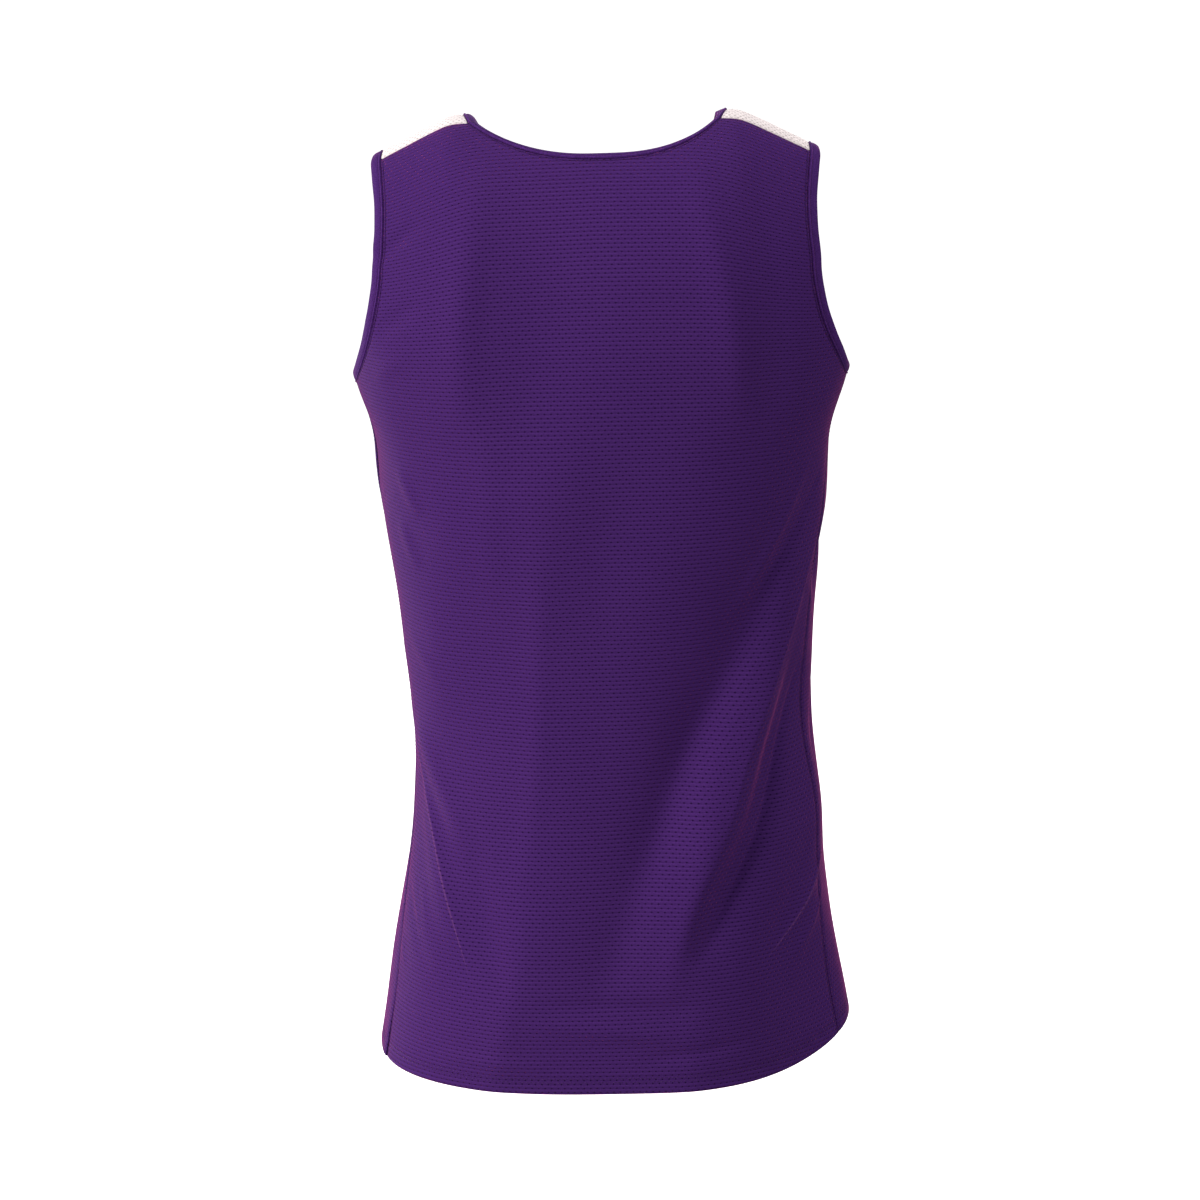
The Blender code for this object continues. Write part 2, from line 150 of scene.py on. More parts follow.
FINE_FOLDS = (
    # back, right side: the middle of the main trough, its low end, and the low end of the ridge
    Fold(58, -0.300, -2, -0.650, 0.017, -0.0032),
    Fold(48, -0.300, -10, -0.680, 0.030, -0.0030),
    Fold(30, -0.430, -6, -0.680, 0.020, -0.0045),
    Fold(22, -0.530, -5, -0.687, 0.016, -0.0030),
    Fold(29, -0.520, 13, -0.690, 0.013, 0.0048),
    Fold(59, -0.370, 19, -0.590, 0.009, 0.0026),
    Fold(4, -0.200, -8, -0.640, 0.040, 0.0050),
    # back, right side: the narrow valley under the long crease, and the pull above the main ridge
    Fold(57, -0.420, 14, -0.660, 0.010, 0.0045),
    Fold(67, -0.420, 21, -0.650, 0.0105, -0.0030),
    Fold(62, -0.262, 36, -0.385, 0.0065, 0.0028),
    Fold(72, -0.272, 44, -0.370, 0.0060, -0.0016),
    Fold(66, -0.560, 40, -0.660, 0.0090, -0.0014),
    Fold(70, -0.600, 48, -0.690, 0.0080, 0.0012),
    # back: the edges of the two shoulder blades, with a shallow trough beside each
    Fold(-24, -0.028, -32, -0.230, 0.011, 0.0032),
    Fold(-8, -0.030, -19, -0.280, 0.028, -0.0042),
    Fold(21, -0.025, 33, -0.220, 0.010, 0.0026),
    Fold(34, -0.030, 42, -0.240, 0.014, -0.0024),
    # back: the long upright ridges of the left half
    Fold(-27, -0.200, -31, -0.400, 0.010, 0.0010),
    Fold(-14, -0.280, -26, -0.640, 0.010, 0.0014),
    Fold(-22, -0.600, -30, -0.790, 0.011, 0.0015),
    Fold(24, -0.620, 17, -0.780, 0.012, 0.0012),
    # back, left side: the flat between the two creases, and the trough inside them
    Fold(-68, -0.490, -31, -0.655, 0.013, 0.0035),
    Fold(-44, -0.530, -25, -0.690, 0.010, -0.0024),
    # back, left side: short pulls towards the side seam
    Fold(-60, -0.262, -52, -0.300, 0.0080, 0.0018),
    Fold(-64, -0.305, -56, -0.345, 0.0080, 0.0016),
    Fold(-70, -0.395, -50, -0.440, 0.0080, 0.0010),
    Fold(-72, -0.600, -50, -0.668, 0.0070, -0.0012),
    # back, beside the left armhole
    Fold(-52, -0.104, -37, -0.070, 0.0050, -0.0018),
    Fold(-53, -0.158, -37, -0.128, 0.0060, -0.0018),
    Fold(-58, -0.190, -42, -0.172, 0.0070, 0.0012),
    # back, above the hem
    Fold(-22, -0.694, 20, -0.708, 0.0070, 0.0021),
    Fold(-19, -0.678, 24, -0.686, 0.0060, -0.0018),
    Fold(6, -0.724, 34, -0.716, 0.0050, -0.0015),
    Fold(-44, -0.726, -14, -0.730, 0.0050, 0.0013),
    # front: pulls from the chest to the waist, uneven, and some above the hem
    Fold(132, -0.300, 158, -0.430, 0.0090, -0.0020),
    Fold(118, -0.360, 142, -0.452, 0.0070, 0.0018),
    Fold(112, -0.480, 146, -0.560, 0.0090, 0.0022),
    Fold(120, -0.560, 150, -0.640, 0.0100, -0.0020),
    Fold(-134, -0.280, -160, -0.400, 0.0090, -0.0018),
    Fold(-116, -0.350, -146, -0.470, 0.0080, 0.0020),
    Fold(-110, -0.500, -140, -0.600, 0.0100, -0.0022),
    Fold(-124, -0.580, -158, -0.690, 0.0110, 0.0020),
    Fold(150, -0.160, 168, -0.300, 0.0160, 0.0018),
    Fold(-152, -0.150, -170, -0.290, 0.0170, 0.0018),
    Fold(158, -0.700, 196, -0.712, 0.0070, 0.0013),
    Fold(164, -0.684, 200, -0.692, 0.0060, -0.0011),
    Fold(128, -0.120, 140, -0.096, 0.0060, -0.0011),
    Fold(-128, -0.128, -141, -0.104, 0.0060, -0.0011),
    # sides
    Fold(98, -0.245, 84, -0.330, 0.0080, 0.0016),
    Fold(-98, -0.240, -84, -0.310, 0.0090, 0.0016),
    Fold(-102, -0.330, -86, -0.420, 0.0100, -0.0018),
    Fold(94, -0.430, 78, -0.520, 0.0090, -0.0016),
)
FOLDS = MAIN_FOLDS + FINE_FOLDS

# Creases: ridges, or valleys where the height is below 0, with a sharp top and two unlike flanks, left and
# right of it as seen from outside. The bow is how far the middle of the line lies to the right of its
# straight course. A crease marked True in the last column gets a painted highlight: a paler, pinker colour
# along its top that stands for the sheen of a sharp fold.
Crease = namedtuple(
    "Crease",
    "top_angle top_height low_angle low_height left_width right_width height bow worn",
    defaults=(False,),
)
CREASES = (
    # back: the long pull under the right arm, the short one below it, and the long one on the left
    Crease(73.5, -0.330, 24, -0.595, 0.0075, 0.0035, 0.0024, -0.0105),
    Crease(68, -0.425, 21, -0.655, 0.0075, 0.0220, -0.0080, 0.002),
    Crease(80, -0.580, 42, -0.655, 0.0040, 0.0030, 0.0021, 0.000, True),
    Crease(76, -0.612, 47, -0.668, 0.0030, 0.0030, 0.0015, 0.001),
    Crease(-84, -0.455, -37, -0.662, 0.0030, 0.0100, 0.0022, 0.0105, True),
    # back, left: short upright wrinkles beside the side seam
    Crease(-68, -0.600, -56, -0.646, 0.0030, 0.0030, 0.0007, 0.001),
    Crease(-60, -0.596, -53, -0.640, 0.0025, 0.0035, 0.0006, -0.001),
    Crease(-72, -0.650, -64, -0.672, 0.0030, 0.0030, 0.0008, 0.000),
    # front: the same pulls from the sides, uneven
    Crease(116, -0.340, 150, -0.560, 0.0040, 0.0075, 0.0020, 0.007, True),
    Crease(108, -0.560, 130, -0.650, 0.0035, 0.0045, 0.0010, 0.000),
    Crease(-112, -0.430, -148, -0.640, 0.0070, 0.0040, 0.0021, -0.006, True),
    Crease(-104, -0.330, -132, -0.430, 0.0050, 0.0035, 0.0011, 0.003),
)
CREASE_SOFT = 0.0007  # rounding of a crease's top
LEAST_FADE = 0.02
CREST_REACH = 0.01  # beyond this the distance from a crest grows faster

# A slow unevenness of the cloth below the shoulders: waves per metre round and up, phase, height.
Wave = namedtuple("Wave", "round_trunk up phase height")
WAVES = (
    Wave(4.1, 2.3, 0.4, 0.0009),
    Wave(-6.7, 5.1, 2.1, 0.0006),
    Wave(9.5, 7.9, 4.4, 0.00035),
    Wave(-13.7, 4.3, 1.2, 0.00025),
)
WAVE_TOP = -0.05  # the waves begin at this height and have their full size this much lower
WAVE_FADE = 0.10

CLOTH = 0.0010  # thickness of the shown cloth
SPACING = {"back_panel": 0.0025, "front_panel": 0.0034}  # spacing of a panel's grid
YOKE_SPACING = 0.0028
SEAM_STEPS = (0.0, 0.0005, 0.0010, 0.0017, 0.0024, 0.0031, 0.0044)  # grid lines next to a sewn edge
SEAM_DIP = 0.0010  # the cloth turns in this much at a sewn edge
SEAM_DIP_WIDTH = 0.0008
SEAM_STITCHES = 0.0024  # distance of the row of stitches beside a seam
SEAM_STITCH_SINK = 0.0004
SEAM_STITCH_WIDTH = 0.0006
HEM_ROWS = 0.0010  # spacing of the grid lines in the hem
HEM_PAST_FOLD = 4.5 * HEM_ROWS  # how far they go on past the doubled cloth
HEM_STITCHES = (0.0090, 0.0122)  # heights of the two rows of stitches above the hem's edge
HEM_STITCH_SINK = 0.0004
HEM_STITCH_WIDTH = 0.0009
HEM_FOLD_SOFT = 0.0010  # how softly the doubled cloth ends
STEP = 1e-4

# -------- the form


def along(table, height):
    """The columns of a table at these heights, on smooth curves through its rows."""
    rows = np.array(sorted(table))
    last = len(rows) - 1
    height = np.asarray(height, float)
    i = np.clip(np.searchsorted(rows[:, 0], height, "right") - 1, 0, last - 1)
    low, high = rows[i], rows[i + 1]
    before, after = rows[np.maximum(i - 1, 0)], rows[np.minimum(i + 2, last)]
    span = (high[..., 0] - low[..., 0])[..., None]
    t = np.clip((height[..., None] - low[..., :1]) / span, 0.0, 1.0)
    slope_low = (high - before) / (high[..., :1] - before[..., :1])
    slope_high = (after - low) / (after[..., :1] - low[..., :1])
    values = (2 * t**3 - 3 * t**2 + 1) * low + (t**3 - 2 * t**2 + t) * span * slope_low
    values += (3 * t**2 - 2 * t**3) * high + (t**3 - t**2) * span * slope_high
    return type(table[0])(*np.moveaxis(values, -1, 0))


def ridge(x):
    over = np.abs(x) - SHOULDER_START
    return -math.tan(SHOULDER_SLOPE) * (over + np.hypot(over, SHOULDER_SOFT)) / 2


def arch(x, height, rise):
    up = 1 - np.clip((ridge(x) - height) / rise, 0.0, 1.0)
    return np.sqrt(1 - up * up)


def trunk_point(angle, height):
    """Points of the form, at angles round from the centre back."""
    angle, height = np.broadcast_arrays(np.asarray(angle, float), np.asarray(height, float))
    ring = along(RINGS, height)
    s, c = np.sin(angle), np.cos(angle)
    k = (np.abs(s) ** ring.squareness + np.abs(c) ** ring.squareness) ** (-1 / ring.squareness)
    x = ring.aside + ring.half_width * k * s
    depth = np.where(c > 0, ring.back, ring.front)
    rise = np.where(c > 0, BACK_RISE, FRONT_RISE)
    return np.stack([x, -depth * k * c * arch(x, height, rise), height], axis=-1)


def angle_at(x, height):
    ring = along(RINGS, height)
    share = np.minimum(1.0, np.abs(x) / ring.half_width)
    rest = (1 - share**ring.squareness) ** (1 / ring.squareness)
    return np.arctan2(share, rest)


def unit(vectors):
    return vectors / np.maximum(np.linalg.norm(vectors, axis=-1, keepdims=True), 1e-12)


def surface_normal(point, a, b):
    along_a = point(a + STEP, b) - point(a - STEP, b)
    along_b = point(a, b + STEP) - point(a, b - STEP)
    return unit(np.cross(along_a, along_b))


def beside(line, angle, height):
    """How far places lie to the right of the straight line of a fold or crease, and the share of its height
    that is left there: 1 beside the middle of the line and 0 at its ends."""
    top, low = math.radians(line.top_angle), math.radians(line.low_angle)
    turn = (angle - (top + low) / 2 + math.pi) % (2 * math.pi) - math.pi
    across_x = FOLD_RADIUS * turn
    across_z = height - (line.top_height + line.low_height) / 2
    half_x, half_z = FOLD_RADIUS * (top - low) / 2, (line.top_height - line.low_height) / 2
    length = math.hypot(half_x, half_z)
    run = (across_x * half_x + across_z * half_z) / length**2
    return (across_x * half_z - across_z * half_x) / length, np.maximum(0.0, 1 - run * run)


def fold_height(angle, height):
    """How far the folds push the cloth out."""
    total = np.zeros(np.broadcast(angle, height).shape)
    for fold in FOLDS:
        side, fade = beside(fold, angle, height)
        total += fold.height * np.exp(-((side / fold.width) ** 2)) * fade
    return total


def wave_height(angle, height):
    total = np.zeros(np.broadcast(angle, height).shape)
    for wave in WAVES:
        path = wave.round_trunk * FOLD_RADIUS * angle + wave.up * height
        total += wave.height * np.sin(2 * math.pi * path + wave.phase)
    return total * np.clip((WAVE_TOP - height) / WAVE_FADE, 0.0, 1.0)


def beside_crease(crease, angle, height):
    """The same for a crease with its bow."""
    side, fade = beside(crease, angle, height)
    return side - crease.bow * fade, fade


def crest_distance(angle, height):
    """Distance from the top of the nearest crease with a painted highlight. It grows towards the ends, where
    the crease fades.
    """
    nearest = np.ones(np.broadcast(angle, height).shape)
    for crease in CREASES:
        if crease.worn:
            side, fade = beside_crease(crease, angle, height)
            away = side / np.maximum(fade, LEAST_FADE) * (1 + (side / CREST_REACH) ** 2)
            nearest = np.where(np.abs(away) < np.abs(nearest), away, nearest)
    return nearest


def crease_height(angle, height):
    """How far the sharp creases push the cloth out."""
    total = np.zeros(np.broadcast(angle, height).shape)
    for crease in CREASES:
        side, fade = beside_crease(crease, angle, height)
        away = np.hypot(side, CREASE_SOFT) - CREASE_SOFT
        width = np.where(side > 0, crease.right_width, crease.left_width)
        total += crease.height * np.exp(-away / width) * fade
    return total


def cloth_point(angle, height):
    normal = surface_normal(trunk_point, angle, height)
    out = fold_height(angle, height) + crease_height(angle, height) + wave_height(angle, height)
    return trunk_point(angle, height) + normal * out[..., None]


def yoke_point(x, turn):
    """Points of the form over the shoulder. The turn is 0 on the ridge and positive in front of it."""
    rise = np.where(turn > 0, FRONT_RISE, BACK_RISE)
    height = ridge(x) - rise * (1 - np.cos(turn))
    ring = along(RINGS, height)
    depth = np.where(turn > 0, ring.front, ring.back)
    share = (1 - (np.abs(x) / ring.half_width) ** ring.squareness) ** (1 / ring.squareness)
    return np.stack([x, depth * share * np.sin(turn), height], axis=-1)


# -------- outlines


def hem_height(angle):
    side = np.sin(angle)
    return HEM_HEIGHT + np.where(side > 0, HEM_LIFT[1], HEM_LIFT[-1]) * np.abs(side) ** HEM_LIFT_CURVE


def side_seam(hand, height):
    seams = along(SIDE_SEAMS, height)
    return np.radians(np.where(hand < 0, seams.left, seams.right))


def yoke_seam_height(panel, x):
    return ridge(x) - panel.rise * (1 - math.cos(panel.yoke_seam))


def top_height(panel, x):
    corner = yoke_seam_height(panel, panel.neck_corner_x)
    curve = np.where(x > 0, panel.neck_curve[1], panel.neck_curve[0])
    share = np.minimum(1.0, np.abs(x) / panel.neck_corner_x) ** curve
    neck = panel.neck_height + (corner - panel.neck_height) * share
    return np.where(np.abs(x) >= panel.neck_corner_x, yoke_seam_height(panel, x), neck)


KNEE_SHARE = 0.42  # share of the armhole's rows that go round its foot


def armhole_edge(panel, way):
    """(height, angle) of the armhole seam. The way is 0 at the armpit and 1 at the yoke."""
    knee_angle = angle_at(panel.knee_x, panel.knee_height)
    turn = math.pi / 2 * np.clip(way / KNEE_SHARE, 0.0, 1.0)
    knee = ARMPIT_HEIGHT + (panel.knee_height - ARMPIT_HEIGHT) * (1 - np.cos(turn))
    knee_turn = math.pi / 2 - (math.pi / 2 - knee_angle) * np.sin(turn)
    share = np.clip((way - KNEE_SHARE) / (1 - KNEE_SHARE), 0.0, 1.0)
    strap = panel.knee_height + (yoke_seam_height(panel, panel.tip_x) - panel.knee_height) * share
    x = panel.knee_x + (panel.tip_x - panel.knee_x) * share - panel.strap_bow * np.sin(math.pi * share)
    on_strap = way > KNEE_SHARE
    return np.where(on_strap, strap, knee), np.where(on_strap, angle_at(x, strap), knee_turn)


def spaced(length, spacing, first=(), last=()):
    """Distances from 0 to a length at about this spacing, with the given steps next to its ends."""
    start = first[-1] if first else 0.0
    end = length - (last[-1] if last else 0.0)
    count = max(1, round((end - start) / spacing))
    middle = np.linspace(start, end, count + 1)
    return np.concatenate([np.array(first[:-1]), middle, length - np.array(last[:-1])[::-1]])


# -------- grids of cloth

# A grid of cloth: outer face, which way is out, place on the flat cut in metres, distance to the nearest
# sewn edge, thickness, the face before it turns in at its seams, and the distance from the top of the nearest
# crease with a painted highlight.
Grid = namedtuple("Grid", "point normal flat seam wall form crest", defaults=(None,))

# A panel's grid, the row at the foot of its armholes, and how many columns the top of each strap has.
PanelGrid = namedtuple("PanelGrid", "grid foot strap")


MAP_STEPS = 400
MAP_TURN = 2.0  # how far the map reaches round the form to either side, in radians
MAP_DEPTH = 0.80  # and how far down


class FlatMap:
    """Distances along the form, round it from a middle angle and up it, which give the net's place."""

    def __init__(self, middle):
        turns = np.linspace(-MAP_TURN, MAP_TURN, MAP_STEPS + 1)
        heights = np.linspace(-MAP_DEPTH, 0.0, MAP_STEPS + 1)
        points = trunk_point(middle + turns[None, :], heights[:, None])
        self.u = running(points, 1)
        self.u -= self.u[:, MAP_STEPS // 2][:, None]
        self.v = running(points, 0)
        self.middle = middle

    def __call__(self, angle, height):
        last = MAP_STEPS - 0.001
        a = np.clip((angle - self.middle + MAP_TURN) / (2 * MAP_TURN) * MAP_STEPS, 0, last)
        b = np.clip((height + MAP_DEPTH) / MAP_DEPTH * MAP_STEPS, 0, last)
        i, j = b.astype(int), a.astype(int)
        s, t = b - i, a - j
        corners = ((0, 0, (1 - s) * (1 - t)), (1, 0, s * (1 - t)), (0, 1, (1 - s) * t), (1, 1, s * t))
        u = sum(self.u[i + p, j + q] * w for p, q, w in corners)
        v = sum(self.v[i + p, j + q] * w for p, q, w in corners)
        return np.stack([u, v], axis=-1)


def running(points, axis):
    """Distance along each grid line from its first point."""
    steps = np.linalg.norm(np.diff(points, axis=axis), axis=-1)
    pad = ((1, 0), (0, 0)) if axis == 0 else ((0, 0), (1, 0))
    return np.pad(np.cumsum(steps, axis=axis), pad)


def grid_normals(points):
    return unit(np.cross(np.gradient(points, axis=1), np.gradient(points, axis=0)))


def seam_dip(distance):
    """How far the cloth sinks beside a seam: at the seam itself and under its row of stitches."""
    row = SEAM_STITCH_SINK * np.exp(-(((distance - SEAM_STITCHES) / SEAM_STITCH_WIDTH) ** 2))
    return SEAM_DIP * np.exp(-((distance / SEAM_DIP_WIDTH) ** 2)) + row


def sewn(points, flat, wall, to_end, dip=0.0, crest=None):
    """A grid whose face turns in at its sides and at its sewn ends, which lie at the distance to_end."""
    across = running(points, 1)
    to_side = np.minimum(across, across[:, -1:] - across)
    normal = grid_normals(points)
    dipped = points - normal * (dip + seam_dip(to_side) + seam_dip(to_end))[..., None]
    return Grid(dipped, normal, flat, np.minimum(to_side, to_end), wall, points, crest)


SLANT_LEAD = 0.012  # the rows of the net begin to drop this far inside the start of the shoulder's slope
SLANT_SOFT = 0.030  # and how softly
SLANT_FOOT = -0.21  # height where the drop starts, and how far up it grows to its full size
SLANT_RISE = 0.19


def shoulder_slant(points):
    """How much the rows of the net drop towards the armhole, so that they follow the yoke's seam."""
    over = np.abs(points[..., 0]) - SHOULDER_START + SLANT_LEAD
    drop = math.tan(SHOULDER_SLOPE) * (over + np.hypot(over, SLANT_SOFT)) / 2
    share = np.clip((points[..., 2] - SLANT_FOOT) / SLANT_RISE, 0.0, 1.0)
    return drop * share * share * (3 - 2 * share)


PANEL_WIDTH = 0.54  # about, round the trunk
ARMHOLE_RISE = 0.21  # about, from the armpit to the yoke


def panel_columns(panel):
    """Shares of a panel's half-width, -1 to 1, with a column at each corner of the neckline."""
    half = PANEL_WIDTH / 2
    spacing = SPACING[panel.name]
    tip = angle_at(panel.tip_x, yoke_seam_height(panel, panel.tip_x))
    corner = float(angle_at(panel.neck_corner_x, 0.0) / tip)
    inner = spaced(corner * half, spacing) / half
    outer = (corner * half + spaced((1 - corner) * half, spacing, last=SEAM_STEPS)) / half
    positive = np.concatenate([inner, outer[1:]])
    return np.concatenate([-positive[:0:-1], positive]), len(outer) - 1


def panel_grid(panel):
    """Rows from the hem up. Seen from outside, each row goes from left to right."""
    columns, strap = panel_columns(panel)
    middle = 0.0 if panel.facing < 0 else math.pi
    hands = np.where(columns > 0, -panel.facing, panel.facing)
    depth = ARMPIT_HEIGHT - HEM_HEIGHT
    spacing = SPACING[panel.name]
    hem_rows = np.arange(0.0, HEM_TURN_UP + HEM_PAST_FOLD, HEM_ROWS)
    shares = np.concatenate([hem_rows[:-1], hem_rows[-1] + spaced(depth - hem_rows[-1], spacing)]) / depth
    seam = side_seam(hands[None, :], (HEM_HEIGHT + depth * shares)[:, None])
    low_angle = middle + columns * (seam if panel.facing < 0 else math.pi - seam)
    hem = hem_height(low_angle)
    low_height = hem + (ARMPIT_HEIGHT - hem) * shares[:, None]

    ways = spaced(ARMHOLE_RISE, spacing, last=SEAM_STEPS)[1:] / ARMHOLE_RISE
    edge_height, edge_angle = armhole_edge(panel, ways)
    tip_height, tip_angle = edge_height[-1], edge_angle[-1]
    top = top_height(panel, trunk_point(middle + columns * tip_angle, 0.0)[..., 0])
    at_edge = ((edge_height - ARMPIT_HEIGHT) / (tip_height - ARMPIT_HEIGHT))[:, None]
    even = ways[:, None]
    climb = even + (at_edge - even) * np.abs(columns) ** 3
    high_height = ARMPIT_HEIGHT + (top - ARMPIT_HEIGHT) * climb
    high_angle = middle + columns * edge_angle[:, None]

    angle = np.concatenate([low_angle, high_angle])
    height = np.concatenate([low_height, high_height])
    points = cloth_point(angle, height)
    up = running(points, 0)
    flat = FlatMap(middle)(angle, height)
    flat[..., 1] += shoulder_slant(points)
    doubled = 0.5 - 0.5 * np.tanh((up - HEM_TURN_UP) / HEM_FOLD_SOFT)
    dip = HEM_STITCH_SINK * sum(np.exp(-(((up - row) / HEM_STITCH_WIDTH) ** 2)) for row in HEM_STITCHES)
    crest = crest_distance(angle, height)
    grid = sewn(points, flat, CLOTH * (1 + doubled), up[-1:] - up, dip, crest)
    return PanelGrid(grid, len(shares) - 1, strap)


YOKE_RADIUS = 0.145  # about, over the shoulder


def yoke_grid(hand):
    """Rows from the back seam over the ridge to the front seam, left to right seen from behind."""
    edges = []
    for panel in (BACK, FRONT):
        tip = angle_at(panel.tip_x, yoke_seam_height(panel, panel.tip_x))
        columns, strap = panel_columns(panel)
        edges.append(trunk_point(columns[-strap - 1:] * tip, 0.0)[..., 0])
    count = min(len(edge) for edge in edges)
    share = np.linspace(0, 1, count)
    back_x, front_x = (np.interp(share, np.linspace(0, 1, len(e)), e) for e in edges)
    over = YOKE_RADIUS * (BACK.yoke_seam + FRONT.yoke_seam)
    turns = spaced(over, YOKE_SPACING, SEAM_STEPS, SEAM_STEPS) / YOKE_RADIUS
    way = (turns / turns[-1])[:, None]
    bulge = YOKE_NECK_BULGE * np.sin(math.pi * way) * (1 - share)
    x = hand * (back_x + (front_x - back_x) * way + bulge)
    turn = -BACK.yoke_seam + (BACK.yoke_seam + FRONT.yoke_seam) * way + 0 * x
    points = yoke_point(x, turn)
    if hand < 0:
        points, x, turn = points[:, ::-1], x[:, ::-1], turn[:, ::-1]
    up = running(points, 0)
    return sewn(points, np.stack([x, up], axis=-1), np.full(x.shape, CLOTH), np.minimum(up, up[-1:] - up))


# -------- meshes


def tie(name, verts, faces, flat, seam, material):
    """A smooth-shaded mesh from arrays, with its flat place as UVs and its seam distance as an attribute.
    The faces are a list of arrays, one for the quads and one for the triangles, if there are any."""
    corners = np.concatenate([part.ravel() for part in faces])
    sizes = np.concatenate([np.full(len(part), part.shape[1]) for part in faces])
    mesh = bpy.data.meshes.new(name)
    mesh.vertices.add(len(verts))
    mesh.vertices.foreach_set("co", verts.astype(np.float32).ravel())
    mesh.loops.add(len(corners))
    mesh.loops.foreach_set("vertex_index", corners)
    mesh.polygons.add(len(sizes))
    mesh.polygons.foreach_set("loop_start", np.cumsum(sizes) - sizes)
    mesh.update(calc_edges=True)
    layer = mesh.uv_layers.new(name="flat")
    layer.data.foreach_set("uv", flat[corners].astype(np.float32).ravel())
    mesh.attributes.new("seam", "FLOAT", "POINT").data.foreach_set("value", seam.astype(np.float32))
    mesh.validate()
    mesh.shade_smooth()
    mesh.materials.append(material)
    obj = bpy.data.objects.new(name, mesh)
    bpy.context.scene.collection.objects.link(obj)
    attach(obj, "root")
    return obj


def quads(index, closed=False):
    """Faces between the neighbours of an index grid. A closed one also joins its last column to its first."""
    if closed:
        index = np.concatenate([index, index[:, :1]], axis=1)
    a, b, c, d = index[:-1, :-1], index[:-1, 1:], index[1:, 1:], index[1:, :-1]
    return np.stack([a, b, c, d], axis=-1).reshape(-1, 4)


def every_second(count):
    """Every second index, and the last."""
    return np.unique(np.append(np.arange(0, count, 2), count - 1))


def sparse_band(dense, sparse):
    """Faces that join a closed line of points to one that leaves out some of them, marked -1."""
    kept = np.flatnonzero(sparse >= 0)
    four, three = [], []
    for here, there in zip(kept, np.append(kept[1:], kept[0] + len(dense))):
        a, b = sparse[here], sparse[there % len(dense)]
        c, d = dense[here], dense[there % len(dense)]
        if there - here == 1:
            four.append((a, b, d, c))
        else:
            between = dense[here + 1]
            three += [(a, between, c), (a, b, between), (b, d, between)]
    return np.array(four, int).reshape(-1, 4), np.array(three, int).reshape(-1, 3)


RIM_BULGE = 0.45  # how far the rim stands out, as a share of the wall
RIM_MOST = 0.0008  # and at most


def shell(name, grid, material):
    """A closed thin shell: the outer face, a sparser inner face, and a rounded rim that joins them."""
    rows, columns = grid.point.shape[:2]
    count = rows * columns
    picked = np.ix_(every_second(rows), every_second(columns))
    inner = grid.point - grid.normal * grid.wall[..., None]
    index = np.arange(count).reshape(rows, columns)
    inner_index = np.full((rows, columns), -1)
    inner_index[picked] = count + np.arange(inner[picked].size // 3).reshape(inner[picked].shape[:2])

    ring = np.concatenate([index[0, :-1], index[:-1, -1], index[-1, :0:-1], index[:0:-1, 0]])
    outer_rim, inner_rim = grid.point.reshape(-1, 3)[ring], inner.reshape(-1, 3)[ring]
    tangent = unit(np.roll(outer_rim, -1, axis=0) - np.roll(outer_rim, 1, axis=0))
    away = np.cross(tangent, grid.normal.reshape(-1, 3)[ring])
    wall = grid.wall.reshape(-1)[ring][:, None]
    middle = (outer_rim + inner_rim) / 2 + away * np.minimum(wall * RIM_BULGE, RIM_MOST)
    rim = inner_index.max() + 1 + np.arange(len(ring))

    four, three = sparse_band(rim, inner_index.reshape(-1)[ring])
    outer_band = quads(np.stack([rim, ring]), closed=True)
    four = np.concatenate([quads(index), quads(inner_index[picked])[:, ::-1], outer_band, four])
    verts = np.concatenate([grid.point.reshape(-1, 3), inner[picked].reshape(-1, 3), middle])
    place = np.concatenate([index.reshape(-1), index[picked].reshape(-1), ring])
    flat, seam = grid.flat.reshape(-1, 2)[place], grid.seam.reshape(-1)[place]
    obj = tie(name, verts, [four, three], flat, seam, material)
    if grid.crest is not None:
        crest = np.ones(len(verts), np.float32)
        crest[:count] = grid.crest.reshape(-1)
        obj.data.attributes.new("crest", "FLOAT", "POINT").data.foreach_set("value", crest)
    return obj


# -------- bindings

# Half of the outline across a folded strip, as distance from the seam and height over its middle plane,
# from the seam to the fold. The low place is the channel of the stitches.
Mark = namedtuple("Mark", "distance height")
BINDING_OUTLINE = (
    Mark(-0.0012, -0.0004),
    Mark(0.0000, -0.0002),
    Mark(0.0003, 0.0007),
    Mark(0.0007, 0.0013),
    Mark(0.0013, 0.0014),
    Mark(0.0018, 0.0010),
    Mark(0.0023, 0.0006),
    Mark(0.0028, 0.0010),
    Mark(0.0036, 0.0012),
    Mark(0.0054, 0.0013),
    Mark(0.0072, 0.0012),
    Mark(0.0086, 0.0010),
    Mark(0.0094, 0.0007),
    Mark(0.0099, 0.0003),
)
OUTLINE_WIDTH = 0.0100  # width of a strip with this outline; a narrower one is squeezed
BINDING_STITCHES = 0.0023
BINDING_STITCH_HEIGHT = 0.0006
BINDING_SPACING = 0.0020
INSIDE_SEAM = 0.001  # added to the seam distance on the inner face
CAD_WALL = 0.0012

# A slight unevenness of a binding's width: waves round it, phase and share of the width.
Uneven = namedtuple("Uneven", "waves phase share")
UNEVEN = (Uneven(7, 0.6, 0.012), Uneven(17, 2.0, 0.010))


def resampled(points, normals, spacing, closed=True):
    """A line at even spacing, slightly smoothed."""
    if closed:
        points = np.concatenate([points, points[:1]])
        normals = np.concatenate([normals, normals[:1]])
    run = np.concatenate([[0.0], np.cumsum(np.linalg.norm(np.diff(points, axis=0), axis=-1))])
    count = max(2, round(run[-1] / spacing))
    at = np.linspace(0, run[-1], count + 1)
    at = at[:-1] if closed else at
    line, out = (np.stack([np.interp(at, run, k) for k in v.T], axis=-1) for v in (points, normals))
    if closed:
        for _ in range(3):
            line = (np.roll(line, 1, axis=0) + 2 * line + np.roll(line, -1, axis=0)) / 4
            out = (np.roll(out, 1, axis=0) + 2 * out + np.roll(out, -1, axis=0)) / 4
    return line, unit(out), at


